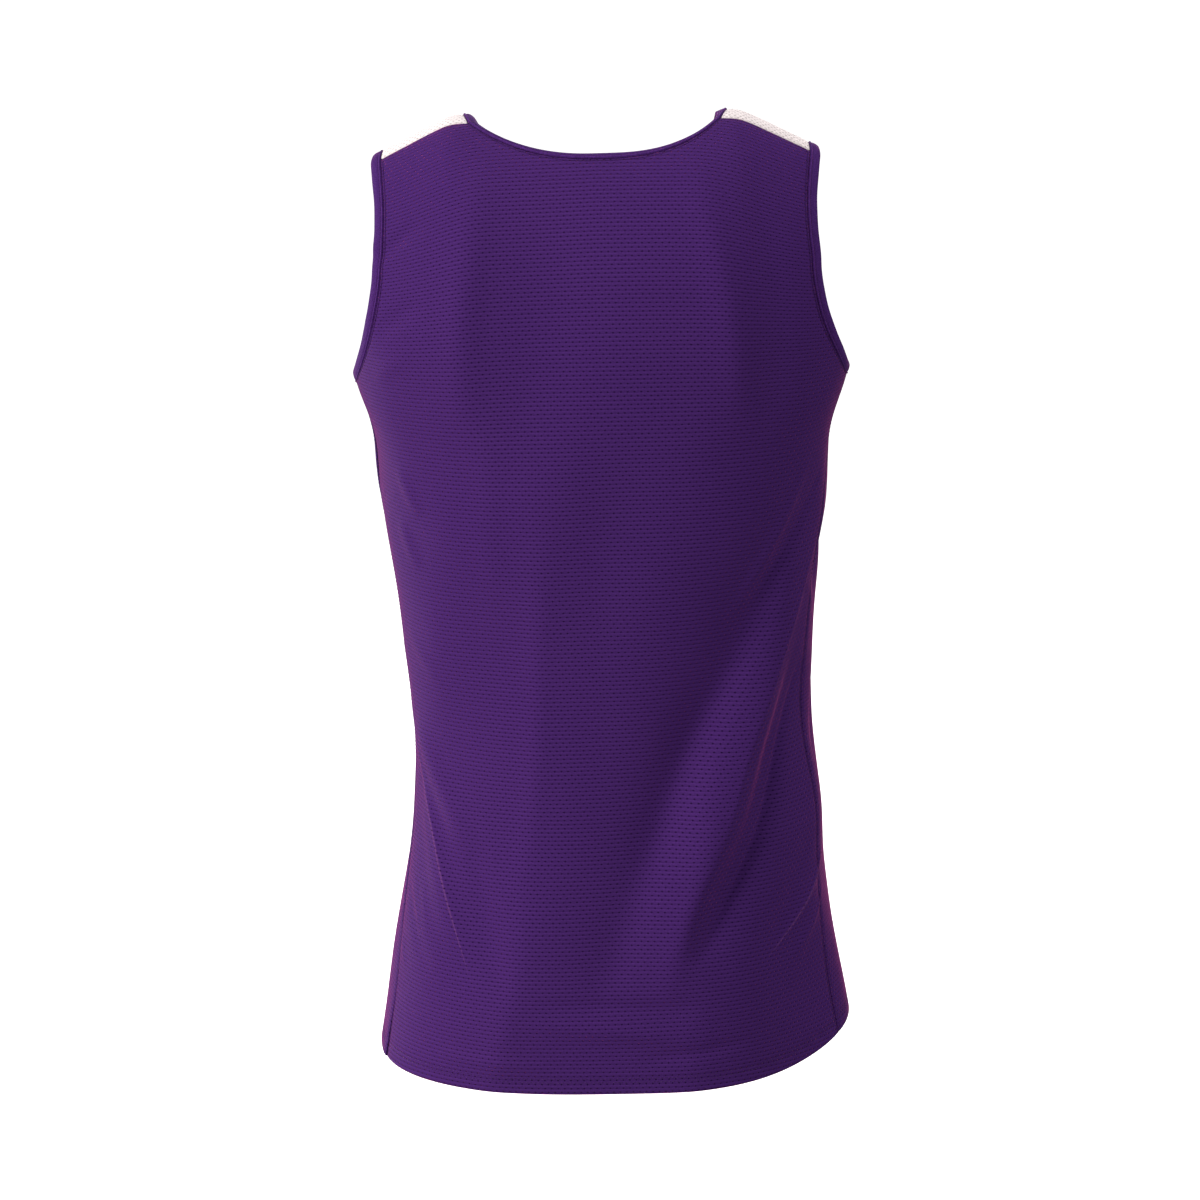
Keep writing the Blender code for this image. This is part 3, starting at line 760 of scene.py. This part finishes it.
def armhole_line(panels, yoke, hand, field):
    """A field of the grids round an armhole: from the armpit up the back, over the yoke, down the front."""
    back, front = (getattr(panel.grid, field)[panel.foot :] for panel in panels)
    outer, other = (-1, 0) if hand > 0 else (0, -1)
    return np.concatenate([back[:, outer], getattr(yoke, field)[1:-1, outer], front[:0:-1, other]])


def neck_line(panels, yokes, field):
    """A field of the grids round the neck: from the left end of the back neckline to the right and round."""
    back, front = (getattr(panel.grid, field)[-1, panel.strap : -panel.strap] for panel in panels)
    right, left = (getattr(yokes[hand], field)[1:-1] for hand in (1, -1))
    return np.concatenate([back, right[:, 0], front, left[::-1, -1]])


def neck_lean_at(line):
    turns = np.degrees(np.arctan2(line[:, 0], -line[:, 1]))
    return np.radians(along(NECK_LEANS, turns).angle)


def binding_frame(line, normals, leans):
    """At each station of a binding: its start, which way it runs into the hole, which way is out, and its
    lean."""
    tangent = unit(np.roll(line, -1, axis=0) - np.roll(line, 1, axis=0))
    across = unit(np.cross(normals, tangent))
    inward = np.sum(across * (line.mean(axis=0) - line), axis=-1, keepdims=True)
    across = np.where(inward < 0, -across, across)
    out = unit(normals - tangent * np.sum(normals * tangent, axis=-1, keepdims=True))
    return line - out * (CAD_WALL / 2), across, out, leans[:, None]


def on_binding(place, distance, height, width):
    """Points on a binding at a distance from its seam and a height over its middle plane."""
    start, across, out, lean = place
    bend = lean * distance / width
    run = np.cos(bend) * across - np.sin(bend) * out
    up = np.cos(bend) * out + np.sin(bend) * across
    return start + run * distance + up * height, up


def binding(name, line, normals, leans, width, material):
    """A folded strip round a closed line, and the line and normals of its row of stitches."""
    line, normals, at = resampled(line, normals, BINDING_SPACING)
    leans = np.interp(np.linspace(0, 1, len(line), endpoint=False), np.linspace(0, 1, len(leans)), leans)
    place = binding_frame(line, normals, leans)
    outline = list(BINDING_OUTLINE)
    outline += [Mark(m.distance, -m.height) for m in reversed(BINDING_OUTLINE[1:])]
    turns = at / at[-1] * 2 * math.pi
    uneven = 1 + sum(wave.share * np.sin(wave.waves * turns + wave.phase) for wave in UNEVEN)
    columns, flats, seams = [], [], []
    for mark in outline:
        distance = (mark.distance * width / OUTLINE_WIDTH * uneven)[:, None]
        point, _ = on_binding(place, distance, mark.height, width)
        columns.append(point)
        side = 1 if mark.height >= 0 else -1
        flats.append(np.stack([at, side * distance[:, 0]], axis=-1))
        seams.append(distance[:, 0] + (0 if side > 0 else INSIDE_SEAM))
    points, flat, seam = (np.stack(v, axis=1) for v in (columns, flats, seams))
    index = np.arange(points.shape[0] * points.shape[1]).reshape(points.shape[:2])
    index = np.concatenate([index, index[:1]])
    faces = quads(index, closed=True)
    verts = points.reshape(-1, 3)
    faces = facing_out(verts, faces)
    obj = tie(name, verts, [faces], flat.reshape(-1, 2), seam.reshape(-1), material)
    return obj, on_binding(place, BINDING_STITCHES * width / OUTLINE_WIDTH, BINDING_STITCH_HEIGHT, width)


def facing_out(verts, faces):
    """Quad faces turned round if the volume inside them is below 0."""
    a, b, c, d = (verts[faces[:, k]] for k in range(4))
    volume = np.sum(np.cross(b - a, c - a) * (a + b + c) + np.cross(c - a, d - a) * (a + c + d))
    return faces[:, ::-1] if volume < 0 else faces


# -------- stitches

STITCH_LENGTH = 0.0023
STITCH_PITCH = 0.0031
STITCH_RADIUS = 0.00028
STITCH_SIDES = 5
STITCH_FLAT = (0.0002, 0.0006)  # size of a stitch's faces on its flat map
NO_SEAM = 0.01  # a seam distance that lies clear of every seam

# Rings of a stitch: place along its length, rise over the cloth and size, in radii.
Station = namedtuple("Station", "way rise size")
STATIONS = (
    Station(-0.50, -0.90, 0.35),
    Station(-0.36, 0.10, 0.90),
    Station(0.00, 0.45, 1.00),
    Station(0.36, 0.10, 0.90),
    Station(0.50, -0.90, 0.35),
)


def edge_line(points, normals, distance):
    """The line at a distance from the first row of a grid, with its normals."""
    run = running(points, 0)
    picked = []
    for source in (points, normals):
        columns = range(points.shape[1])
        lines = [[np.interp(distance, run[:, j], source[:, j, k]) for k in range(3)] for j in columns]
        picked.append(np.array(lines))
    return picked[0], unit(picked[1])


def along_edge(points, normals, distance=SEAM_STITCHES):
    return stitch_row(*edge_line(points, normals, distance))


def beside_seams(grid, rows):
    """The rows of stitches beside the left and the right edge of some rows of a grid."""
    points, normals = (v[rows].transpose(1, 0, 2) for v in (grid.point, grid.normal))
    return along_edge(points, normals), along_edge(points[::-1], normals[::-1])


def below_top(grid, columns):
    """The row of stitches below some columns of a grid's upper edge."""
    return along_edge(grid.point[::-1, columns], grid.normal[::-1, columns])


def beside_ends(grid):
    """The rows of stitches beside a grid's first and last row."""
    return along_edge(grid.point, grid.normal), along_edge(grid.point[::-1], grid.normal[::-1])


def stitch_row(line, normals, closed=False):
    """Spindles along a line, each a stitch that rises from the cloth and goes back into it."""
    line, normals, _ = resampled(line, normals, STITCH_PITCH, closed)
    ahead = np.roll(line, -1, axis=0) if closed else line[1:]
    behind = line if closed else line[:-1]
    out = unit(normals + np.roll(normals, -1, axis=0)) if closed else unit(normals[1:] + normals[:-1])
    run = unit(ahead - behind)
    side = unit(np.cross(run, out))
    out = np.cross(side, run)
    middle = (ahead + behind) / 2
    rings = []
    for station in STATIONS:
        centre = middle + run * (station.way * STITCH_LENGTH) + out * (station.rise * STITCH_RADIUS)
        for k in range(STITCH_SIDES):
            turn = 2 * math.pi * k / STITCH_SIDES
            reach = side * math.cos(turn) + out * math.sin(turn)
            rings.append(centre + reach * (station.size * STITCH_RADIUS))
    return np.stack(rings, axis=1)


def stitches(name, rows, material):
    """One piece of all the stitches of some rows."""
    spindles = np.concatenate(rows)
    count, size = spindles.shape[:2]
    index = np.arange(size)
    one = quads(index.reshape(len(STATIONS), STITCH_SIDES), closed=True)
    faces = (one[None] + size * np.arange(count)[:, None, None]).reshape(-1, 4)
    verts = spindles.reshape(-1, 3)
    flat = np.stack([index % STITCH_SIDES * STITCH_FLAT[0], index // STITCH_SIDES * STITCH_FLAT[1]], axis=-1)
    seam = np.full(len(verts), NO_SEAM)
    return tie(name, verts, [facing_out(verts, faces)], np.tile(flat, (count, 1)), seam, material)


# -------- materials


# How light leaves a cloth. The tint colours its gloss and its sheen.
Surface = namedtuple("Surface", "roughness specular sheen sheen_roughness tint")
PURPLE_NET = Surface(0.60, 0.02, 0.70, 0.22, (1.0, 0.18, 0.50))
WHITE_NET = Surface(0.60, 0.20, 0.10, 0.45, (1.0, 0.93, 0.93))
PURPLE_RIB = Surface(0.58, 0.03, 0.40, 0.20, (1.0, 0.20, 0.60))
THREAD = Surface(0.45, 0.20, 0.08, 0.40, (1.0, 0.5, 1.0))


class Weave:
    """Node building for one cloth. Places are metres on the flat cut."""

    def __init__(self, name, surface):
        self.material = bpy.data.materials.new(name)
        self.material.use_nodes = True
        self.tree = self.material.node_tree
        self.shader = self.tree.nodes["Principled BSDF"]
        self.set("Roughness", surface.roughness)
        self.set("Specular IOR Level", surface.specular)
        self.set("Specular Tint", (*surface.tint, 1.0))
        self.set("Sheen Weight", surface.sheen)
        self.set("Sheen Roughness", surface.sheen_roughness)
        self.set("Sheen Tint", (*surface.tint, 1.0))
        self.flat = self.node("ShaderNodeUVMap", uv_map="flat").outputs[0]
        parts = self.node("ShaderNodeSeparateXYZ", {0: self.flat})
        self.u, self.v = parts.outputs[0], parts.outputs[1]
        self.seam = self.attribute("seam")

    def set(self, socket, value):
        self.shader.inputs[socket].default_value = value

    def attribute(self, name):
        return self.node("ShaderNodeAttribute", attribute_name=name).outputs["Fac"]

    def node(self, kind, inputs=None, **settings):
        node = self.tree.nodes.new(kind)
        for key, value in settings.items():
            setattr(node, key, value)
        for key, value in (inputs or {}).items():
            self.put(node.inputs[key], value)
        return node

    def put(self, socket, value):
        if isinstance(value, bpy.types.NodeSocket):
            self.tree.links.new(value, socket)
        else:
            socket.default_value = value

    def math(self, operation, a, b=0.0, c=0.0):
        return self.node("ShaderNodeMath", {0: a, 1: b, 2: c}, operation=operation).outputs[0]

    def band(self, value, low, high, at_low=0.0, at_high=1.0):
        """A smooth change from one value to another as the input goes from low to high."""
        inputs = {0: value, 1: low, 2: high, 3: at_low, 4: at_high}
        return self.node("ShaderNodeMapRange", inputs, interpolation_type="SMOOTHSTEP").outputs[0]

    def noise(self, scale, detail=2.0):
        """Noise from about 0 to 1 over the flat cloth, with features of 1/scale metres."""
        place = self.node("ShaderNodeMapping", {0: self.flat, 3: (scale, scale, 1.0)})
        node = self.node("ShaderNodeTexNoise", {"Vector": place.outputs[0], "Scale": 1.0, "Detail": detail})
        return node.outputs["Fac"]

    def from_seam(self, distance):
        """How far places lie to either side of a line beside the seam."""
        return self.math("ABSOLUTE", self.math("SUBTRACT", self.seam, distance))

    def shade(self, *bands):
        """The product of some bands, each given as its input and four numbers."""
        values = [self.band(*band) for band in bands]
        result = values[0]
        for value in values[1:]:
            result = self.math("MULTIPLY", result, value)
        return result

    def mixed(self, colour_a, colour_b, share):
        mix = self.node("ShaderNodeMix", data_type="RGBA")
        self.put(mix.inputs[6], colour_a)
        self.put(mix.inputs[7], colour_b)
        self.put(mix.inputs[0], share)
        return mix.outputs[2]

    def dimmed(self, colour, factor):
        """A colour times a number."""
        colour = colour[:3] if isinstance(colour, tuple) else colour
        scaled = self.node("ShaderNodeVectorMath", {0: colour, 3: factor}, operation="SCALE")
        return scaled.outputs[0]

    def holes(self, pitch, row, half_width, half_height):
        """1 in the holes of a net whose alternate rows are set off by half, and 0 between them."""
        rows = self.math("DIVIDE", self.v, row)
        odd = self.math("MODULO", self.math("FLOOR", rows), 2.0)
        columns = self.math("MULTIPLY_ADD", odd, 0.5, self.math("DIVIDE", self.u, pitch))
        x = self.math("SUBTRACT", self.math("FRACT", columns), 0.5)
        y = self.math("SUBTRACT", self.math("FRACT", rows), 0.5)
        x = self.math("MULTIPLY", x, pitch / half_width)
        y = self.math("MULTIPLY", y, row / half_height)
        away = self.math("SQRT", self.math("ADD", self.math("POWER", x, 2.0), self.math("POWER", y, 2.0)))
        return self.band(away, 0.6, 1.35, 1.0, 0.0)

    def crest_highlight(self):
        """1 on top of the creases with a painted highlight, and 0 away from them: the mask of that painted
        highlight.
        """
        return self.band(self.math("ABSOLUTE", self.attribute("crest")), 0.0004, 0.0014, 1.0, 0.0)

    def knit(self):
        return self.math("MULTIPLY", self.waves(self.u, KNIT_COLUMN), self.waves(self.v, KNIT_ROW))

    def waves(self, place, pitch):
        """A wave from 0 to 1 along a coordinate."""
        turns = self.math("MULTIPLY", place, 2 * math.pi / pitch)
        return self.math("MULTIPLY_ADD", self.math("SINE", turns), 0.5, 0.5)

    def finish(self, colour, height, depth):
        self.put(self.shader.inputs["Base Color"], colour)
        bump = self.node("ShaderNodeBump", {"Strength": 1.0, "Distance": depth, "Height": height})
        self.put(self.shader.inputs["Normal"], bump.outputs[0])
        return self.material


NET_PITCH = 0.0051  # holes of the purple net, across and up
NET_ROW = 0.00325
YOKE_PITCH = 0.0043  # holes of the white net
YOKE_ROW = 0.0033
KNIT_COLUMN = 0.00085  # loops of the knit
KNIT_ROW = 0.00065
NET_DEPTH = 0.0005  # height of the bump over the full range


def purple_net():
    cloth = Weave("purple_net", PURPLE_NET)
    holes = cloth.holes(NET_PITCH, NET_ROW, half_width=0.00062, half_height=0.00046)
    ribs = cloth.waves(cloth.math("ADD", cloth.v, NET_ROW / 4), NET_ROW)
    fine_ribs = cloth.waves(cloth.v, NET_ROW / 2)
    knit = cloth.knit()
    colour = cloth.mixed((0.055, 0.0172, 0.127, 1.0), (0.062, 0.0198, 0.134, 1.0), cloth.noise(9.0))
    # painted highlight: the tops of the marked creases get a paler, pinker colour, for the sheen of a sharp
    # fold
    colour = cloth.mixed(colour, (0.105, 0.0360, 0.160, 1.0), cloth.crest_highlight())
    shade = cloth.shade(
        (cloth.noise(800.0), 0.25, 0.75, 0.88, 1.12),
        (holes, 0.0, 1.0, 1.0, 0.22),
        (ribs, 0.0, 1.0, 0.86, 1.12),
        (fine_ribs, 0.0, 1.0, 0.95, 1.05),
        # painted shade: darker in the groove where the cloth turns in at a seam, and along the sunken row of
        # stitches beside it
        (cloth.seam, 0.0001, 0.0008, 0.25, 1.0),
        (cloth.from_seam(SEAM_STITCHES), 0.0001, SEAM_STITCH_WIDTH, 0.62, 1.0),
    )
    height = cloth.math("MULTIPLY_ADD", holes, -0.75, cloth.math("MULTIPLY", ribs, 0.25))
    height = cloth.math("MULTIPLY_ADD", fine_ribs, 0.12, height)
    height = cloth.math("MULTIPLY_ADD", knit, 0.12, height)
    return cloth.finish(cloth.dimmed(colour, shade), height, NET_DEPTH)


def white_net():
    cloth = Weave("white_net", WHITE_NET)
    holes = cloth.holes(YOKE_PITCH, YOKE_ROW, half_width=0.00085, half_height=0.00075)
    knit = cloth.knit()
    colour = cloth.mixed((0.88, 0.795, 0.785, 1.0), (0.92, 0.835, 0.825, 1.0), cloth.noise(25.0))
    # the holes are the net's own; the darkening at the seams is painted shade, where the cloth turns in
    shade = cloth.shade((holes, 0.0, 1.0, 1.0, 0.62), (cloth.seam, 0.0, 0.0009, 0.6, 1.0))
    height = cloth.math("MULTIPLY_ADD", holes, -0.75, cloth.math("MULTIPLY", knit, 0.12))
    return cloth.finish(cloth.dimmed(colour, shade), height, NET_DEPTH)


RIB_CHANNEL = BINDING_STITCHES * 0.85  # distance from the seam to the channel of the stitches
RIB_ROLL = BINDING_STITCHES * 0.45  # and to the roll beside it
RIB_DEPTH = 0.00025
THREAD_TWIST = 0.0005
THREAD_DEPTH = 0.0001


def purple_rib():
    cloth = Weave("purple_rib", PURPLE_RIB)
    ribs = cloth.waves(cloth.v, 0.0011)
    slanted = cloth.math("MULTIPLY_ADD", cloth.u, 0.9, cloth.v)
    twill = cloth.waves(slanted, 0.0016)
    colour = cloth.mixed((0.070, 0.0218, 0.160, 1.0), (0.080, 0.0250, 0.172, 1.0), cloth.noise(30.0))
    shade = cloth.shade(
        (cloth.math("MULTIPLY", ribs, twill), 0.0, 1.0, 0.78, 1.12),
        (cloth.noise(650.0, detail=1.0), 0.35, 0.65, 0.80, 1.12),
        # painted shade: darker in the groove at the seam and in the low channel of the stitches
        (cloth.seam, 0.0001, 0.0006, 0.30, 1.0),
        (cloth.from_seam(RIB_CHANNEL), 0.0001, 0.0006, 0.62, 1.0),
        # painted highlight: the raised roll beside the channel is made lighter
        (cloth.from_seam(RIB_ROLL), 0.0002, 0.0008, 1.35, 1.0),
    )
    height = cloth.math("MULTIPLY_ADD", ribs, 0.4, cloth.math("MULTIPLY", twill, 0.5))
    return cloth.finish(cloth.dimmed(colour, shade), height, RIB_DEPTH)


def thread(name, colour):
    cloth = Weave(name, THREAD)
    twist = cloth.waves(cloth.math("MULTIPLY_ADD", cloth.u, 1.5, cloth.v), THREAD_TWIST)
    shade = cloth.band(twist, 0.0, 1.0, 0.85, 1.1)
    return cloth.finish(cloth.dimmed(colour, shade), twist, THREAD_DEPTH)


# -------- the jersey


HANDS = {"left": -1, "right": 1}
HEM_EDGE = 40  # rows of a panel's grid that take in the stitches of its hem
STRAP_END = 4  # rows at a strap's top that its side stitches leave out


def build_cloths(panels, yokes):
    net, white = purple_net(), white_net()
    back, front = panels
    return {
        "back_panel": shell("back_cloth", back.grid, net),
        "front_panel": shell("front_cloth", front.grid, net),
        "yoke_left": shell("yoke_cloth_left", yokes[-1], white),
        "yoke_right": shell("yoke_cloth_right", yokes[1], white),
    }


def build_bindings(panels, yokes):
    """The three bindings by node, and the stitches of the armholes and of the neck."""
    rib = purple_rib()
    pieces, arms = {}, []
    for side, hand in HANDS.items():
        line, normals = (armhole_line(panels, yokes[hand], hand, field) for field in ("form", "normal"))
        leans = np.zeros(len(line))
        piece, row = binding(f"arm_rib_{side}", line, normals, leans, ARM_BINDING_WIDTH, rib)
        pieces[f"arm_binding_{side}"] = piece
        arms.append(stitch_row(*row, closed=True))
    line, normals = (neck_line(panels, yokes, field) for field in ("form", "normal"))
    piece, row = binding("neck_rib", line, normals, neck_lean_at(line), NECK_BINDING_WIDTH, rib)
    pieces["neck_binding"] = piece
    return pieces, arms, [stitch_row(*row, closed=True)]


def build_stitches(panels, yokes, arms, neck):
    hem, sides, seams, ends = [], [], [], []
    for grid, foot, strap in panels:
        hem += [along_edge(grid.point[:HEM_EDGE], grid.normal[:HEM_EDGE], height) for height in HEM_STITCHES]
        sides += beside_seams(grid, slice(0, foot))
        seams += beside_seams(grid, slice(foot, -STRAP_END))
        seams.append(below_top(grid, slice(strap, -strap)))
    for yoke in yokes.values():
        ends += beside_ends(yoke)
    purple = thread("purple_thread", (0.040, 0.0120, 0.085, 1.0))
    white = thread("white_thread", (0.70, 0.62, 0.63, 1.0))
    stitches("stitches_hem", hem, purple)
    stitches("stitches_sides", sides, purple)
    stitches("stitches_panels", seams, purple)
    stitches("stitches_yokes", ends, white)
    stitches("stitches_arms", arms, purple)
    stitches("stitches_neck", neck, purple)


def build_jersey():
    """All its pieces. Those that stand for a node of the frame are returned by its name."""
    panels = panel_grid(BACK), panel_grid(FRONT)
    yokes = {hand: yoke_grid(hand) for hand in HANDS.values()}
    pieces = build_cloths(panels, yokes)
    bindings, arms, neck = build_bindings(panels, yokes)
    pieces.update(bindings)
    build_stitches(panels, yokes, arms, neck)
    for node, obj in pieces.items():
        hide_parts(node)
    return pieces


# -------- floor, lights and camera


def glowing(name, colour):
    material = bpy.data.materials.new(name)
    material.use_nodes = True
    shader = material.node_tree.nodes["Principled BSDF"]
    shader.inputs["Base Color"].default_value = (0.9, 0.9, 0.9, 1.0)
    shader.inputs["Roughness"].default_value = 0.9
    shader.inputs["Emission Color"].default_value = colour
    shader.inputs["Emission Strength"].default_value = 1.0
    return material


def only_for_the_camera(obj):
    for kind in ("diffuse", "glossy", "transmission", "volume_scatter", "shadow"):
        setattr(obj, f"visible_{kind}", False)


def stage_piece(name, material, create, height=0.0, **shape):
    mesh = bpy.data.meshes.new(name)
    bm = bmesh.new()
    create(bm, **shape)
    bmesh.ops.translate(bm, verts=bm.verts, vec=(0, 0, height))
    bm.to_mesh(mesh)
    bm.free()
    mesh.materials.append(material)
    obj = bpy.data.objects.new(name, mesh)
    bpy.context.scene.collection.objects.link(obj)
    only_for_the_camera(obj)


FLOOR_LEVEL = -1.15
FLOOR_RADIUS = 30.0
DOME_RADIUS = 29.0


def build_stage():
    """A plain pale floor, and a plain dome of the same tone round it."""
    pale = glowing("pale_stage", (0.97, 0.97, 0.97, 1.0))
    circle, sphere = bmesh.ops.create_circle, bmesh.ops.create_uvsphere
    stage_piece("floor", pale, circle, FLOOR_LEVEL, cap_ends=True, segments=96, radius=FLOOR_RADIUS)
    stage_piece("backdrop", pale, sphere, u_segments=64, v_segments=32, radius=DOME_RADIUS)


# A light: where it comes from, as its azimuth (0 on the camera's side) and elevation in degrees and its
# distance, its size, power in watts and colour.
Light = namedtuple("Light", "name azimuth elevation distance width height power colour")
LIGHTS = (
    Light("key", -56, 2, 2.6, 1.0, 1.3, 63, (1.0, 0.97, 0.94)),
    Light("fill", 10, 2, 3.2, 2.4, 2.4, 18, (0.97, 0.97, 1.0)),
    Light("top", 0, 80, 2.4, 2.0, 2.0, 27, (1.0, 0.98, 0.98)),
    Light("above", 180, 80, 2.2, 1.6, 1.6, 14, (1.0, 0.98, 0.98)),
    Light("rim_left", -122, 2, 2.2, 0.7, 2.0, 38, (1.0, 0.82, 0.86)),
    Light("side_right", 88, 2, 2.2, 0.8, 2.0, 15, (1.0, 0.92, 0.96)),
    Light("front_side", 180, 20, 3.0, 2.2, 2.2, 26, (1.0, 1.0, 1.0)),
)
LIGHT_TARGET = Vector((0.0, 0.0, -0.38))
WORLD_STRENGTH = 0.17


def from_direction(azimuth, elevation):
    a, e = math.radians(azimuth), math.radians(elevation)
    return Vector((math.sin(a) * math.cos(e), -math.cos(a) * math.cos(e), math.sin(e)))


def build_lights():
    for light in LIGHTS:
        data = bpy.data.lights.new(light.name, "AREA")
        data.shape = "RECTANGLE"
        data.size, data.size_y = light.width, light.height
        data.energy = light.power
        data.color = light.colour
        obj = bpy.data.objects.new(light.name, data)
        direction = from_direction(light.azimuth, light.elevation)
        obj.location = LIGHT_TARGET + direction * light.distance
        obj.rotation_euler = direction.to_track_quat("Z", "Y").to_euler()
        obj.visible_camera = False
        bpy.context.scene.collection.objects.link(obj)
    world = bpy.data.worlds.new("studio")
    bpy.context.scene.world = world
    world.use_nodes = True
    world.node_tree.nodes["Background"].inputs[0].default_value = (1.0, 1.0, 1.0, 1.0)
    world.node_tree.nodes["Background"].inputs[1].default_value = WORLD_STRENGTH
    bpy.context.scene.view_settings.view_transform = "Standard"


CAMERA_DISTANCE = 3.3
CAMERA_ELEVATION = 14.9776
CAMERA_AZIMUTH = 1.5569
CAMERA_ROLL = math.radians(-1.4167)
CAMERA_TARGET = Vector((-0.0051, 0.0, -0.3881))
CAMERA_SENSOR = 36
CAMERA_LENS = 4172.1 / 1200 * CAMERA_SENSOR


def build_camera():
    data = bpy.data.cameras.new("camera")
    data.sensor_width = CAMERA_SENSOR
    data.lens = CAMERA_LENS
    data.clip_end = 100
    obj = bpy.data.objects.new("camera", data)
    direction = from_direction(CAMERA_AZIMUTH, CAMERA_ELEVATION)
    turn = direction.to_track_quat("Z", "Y").to_matrix().to_4x4() @ Matrix.Rotation(CAMERA_ROLL, 4, "Z")
    obj.matrix_world = Matrix.Translation(CAMERA_TARGET + direction * CAMERA_DISTANCE) @ turn
    bpy.context.scene.collection.objects.link(obj)
    bpy.context.scene.camera = obj


build_stage()
build_lights()
build_camera()
build_jersey()
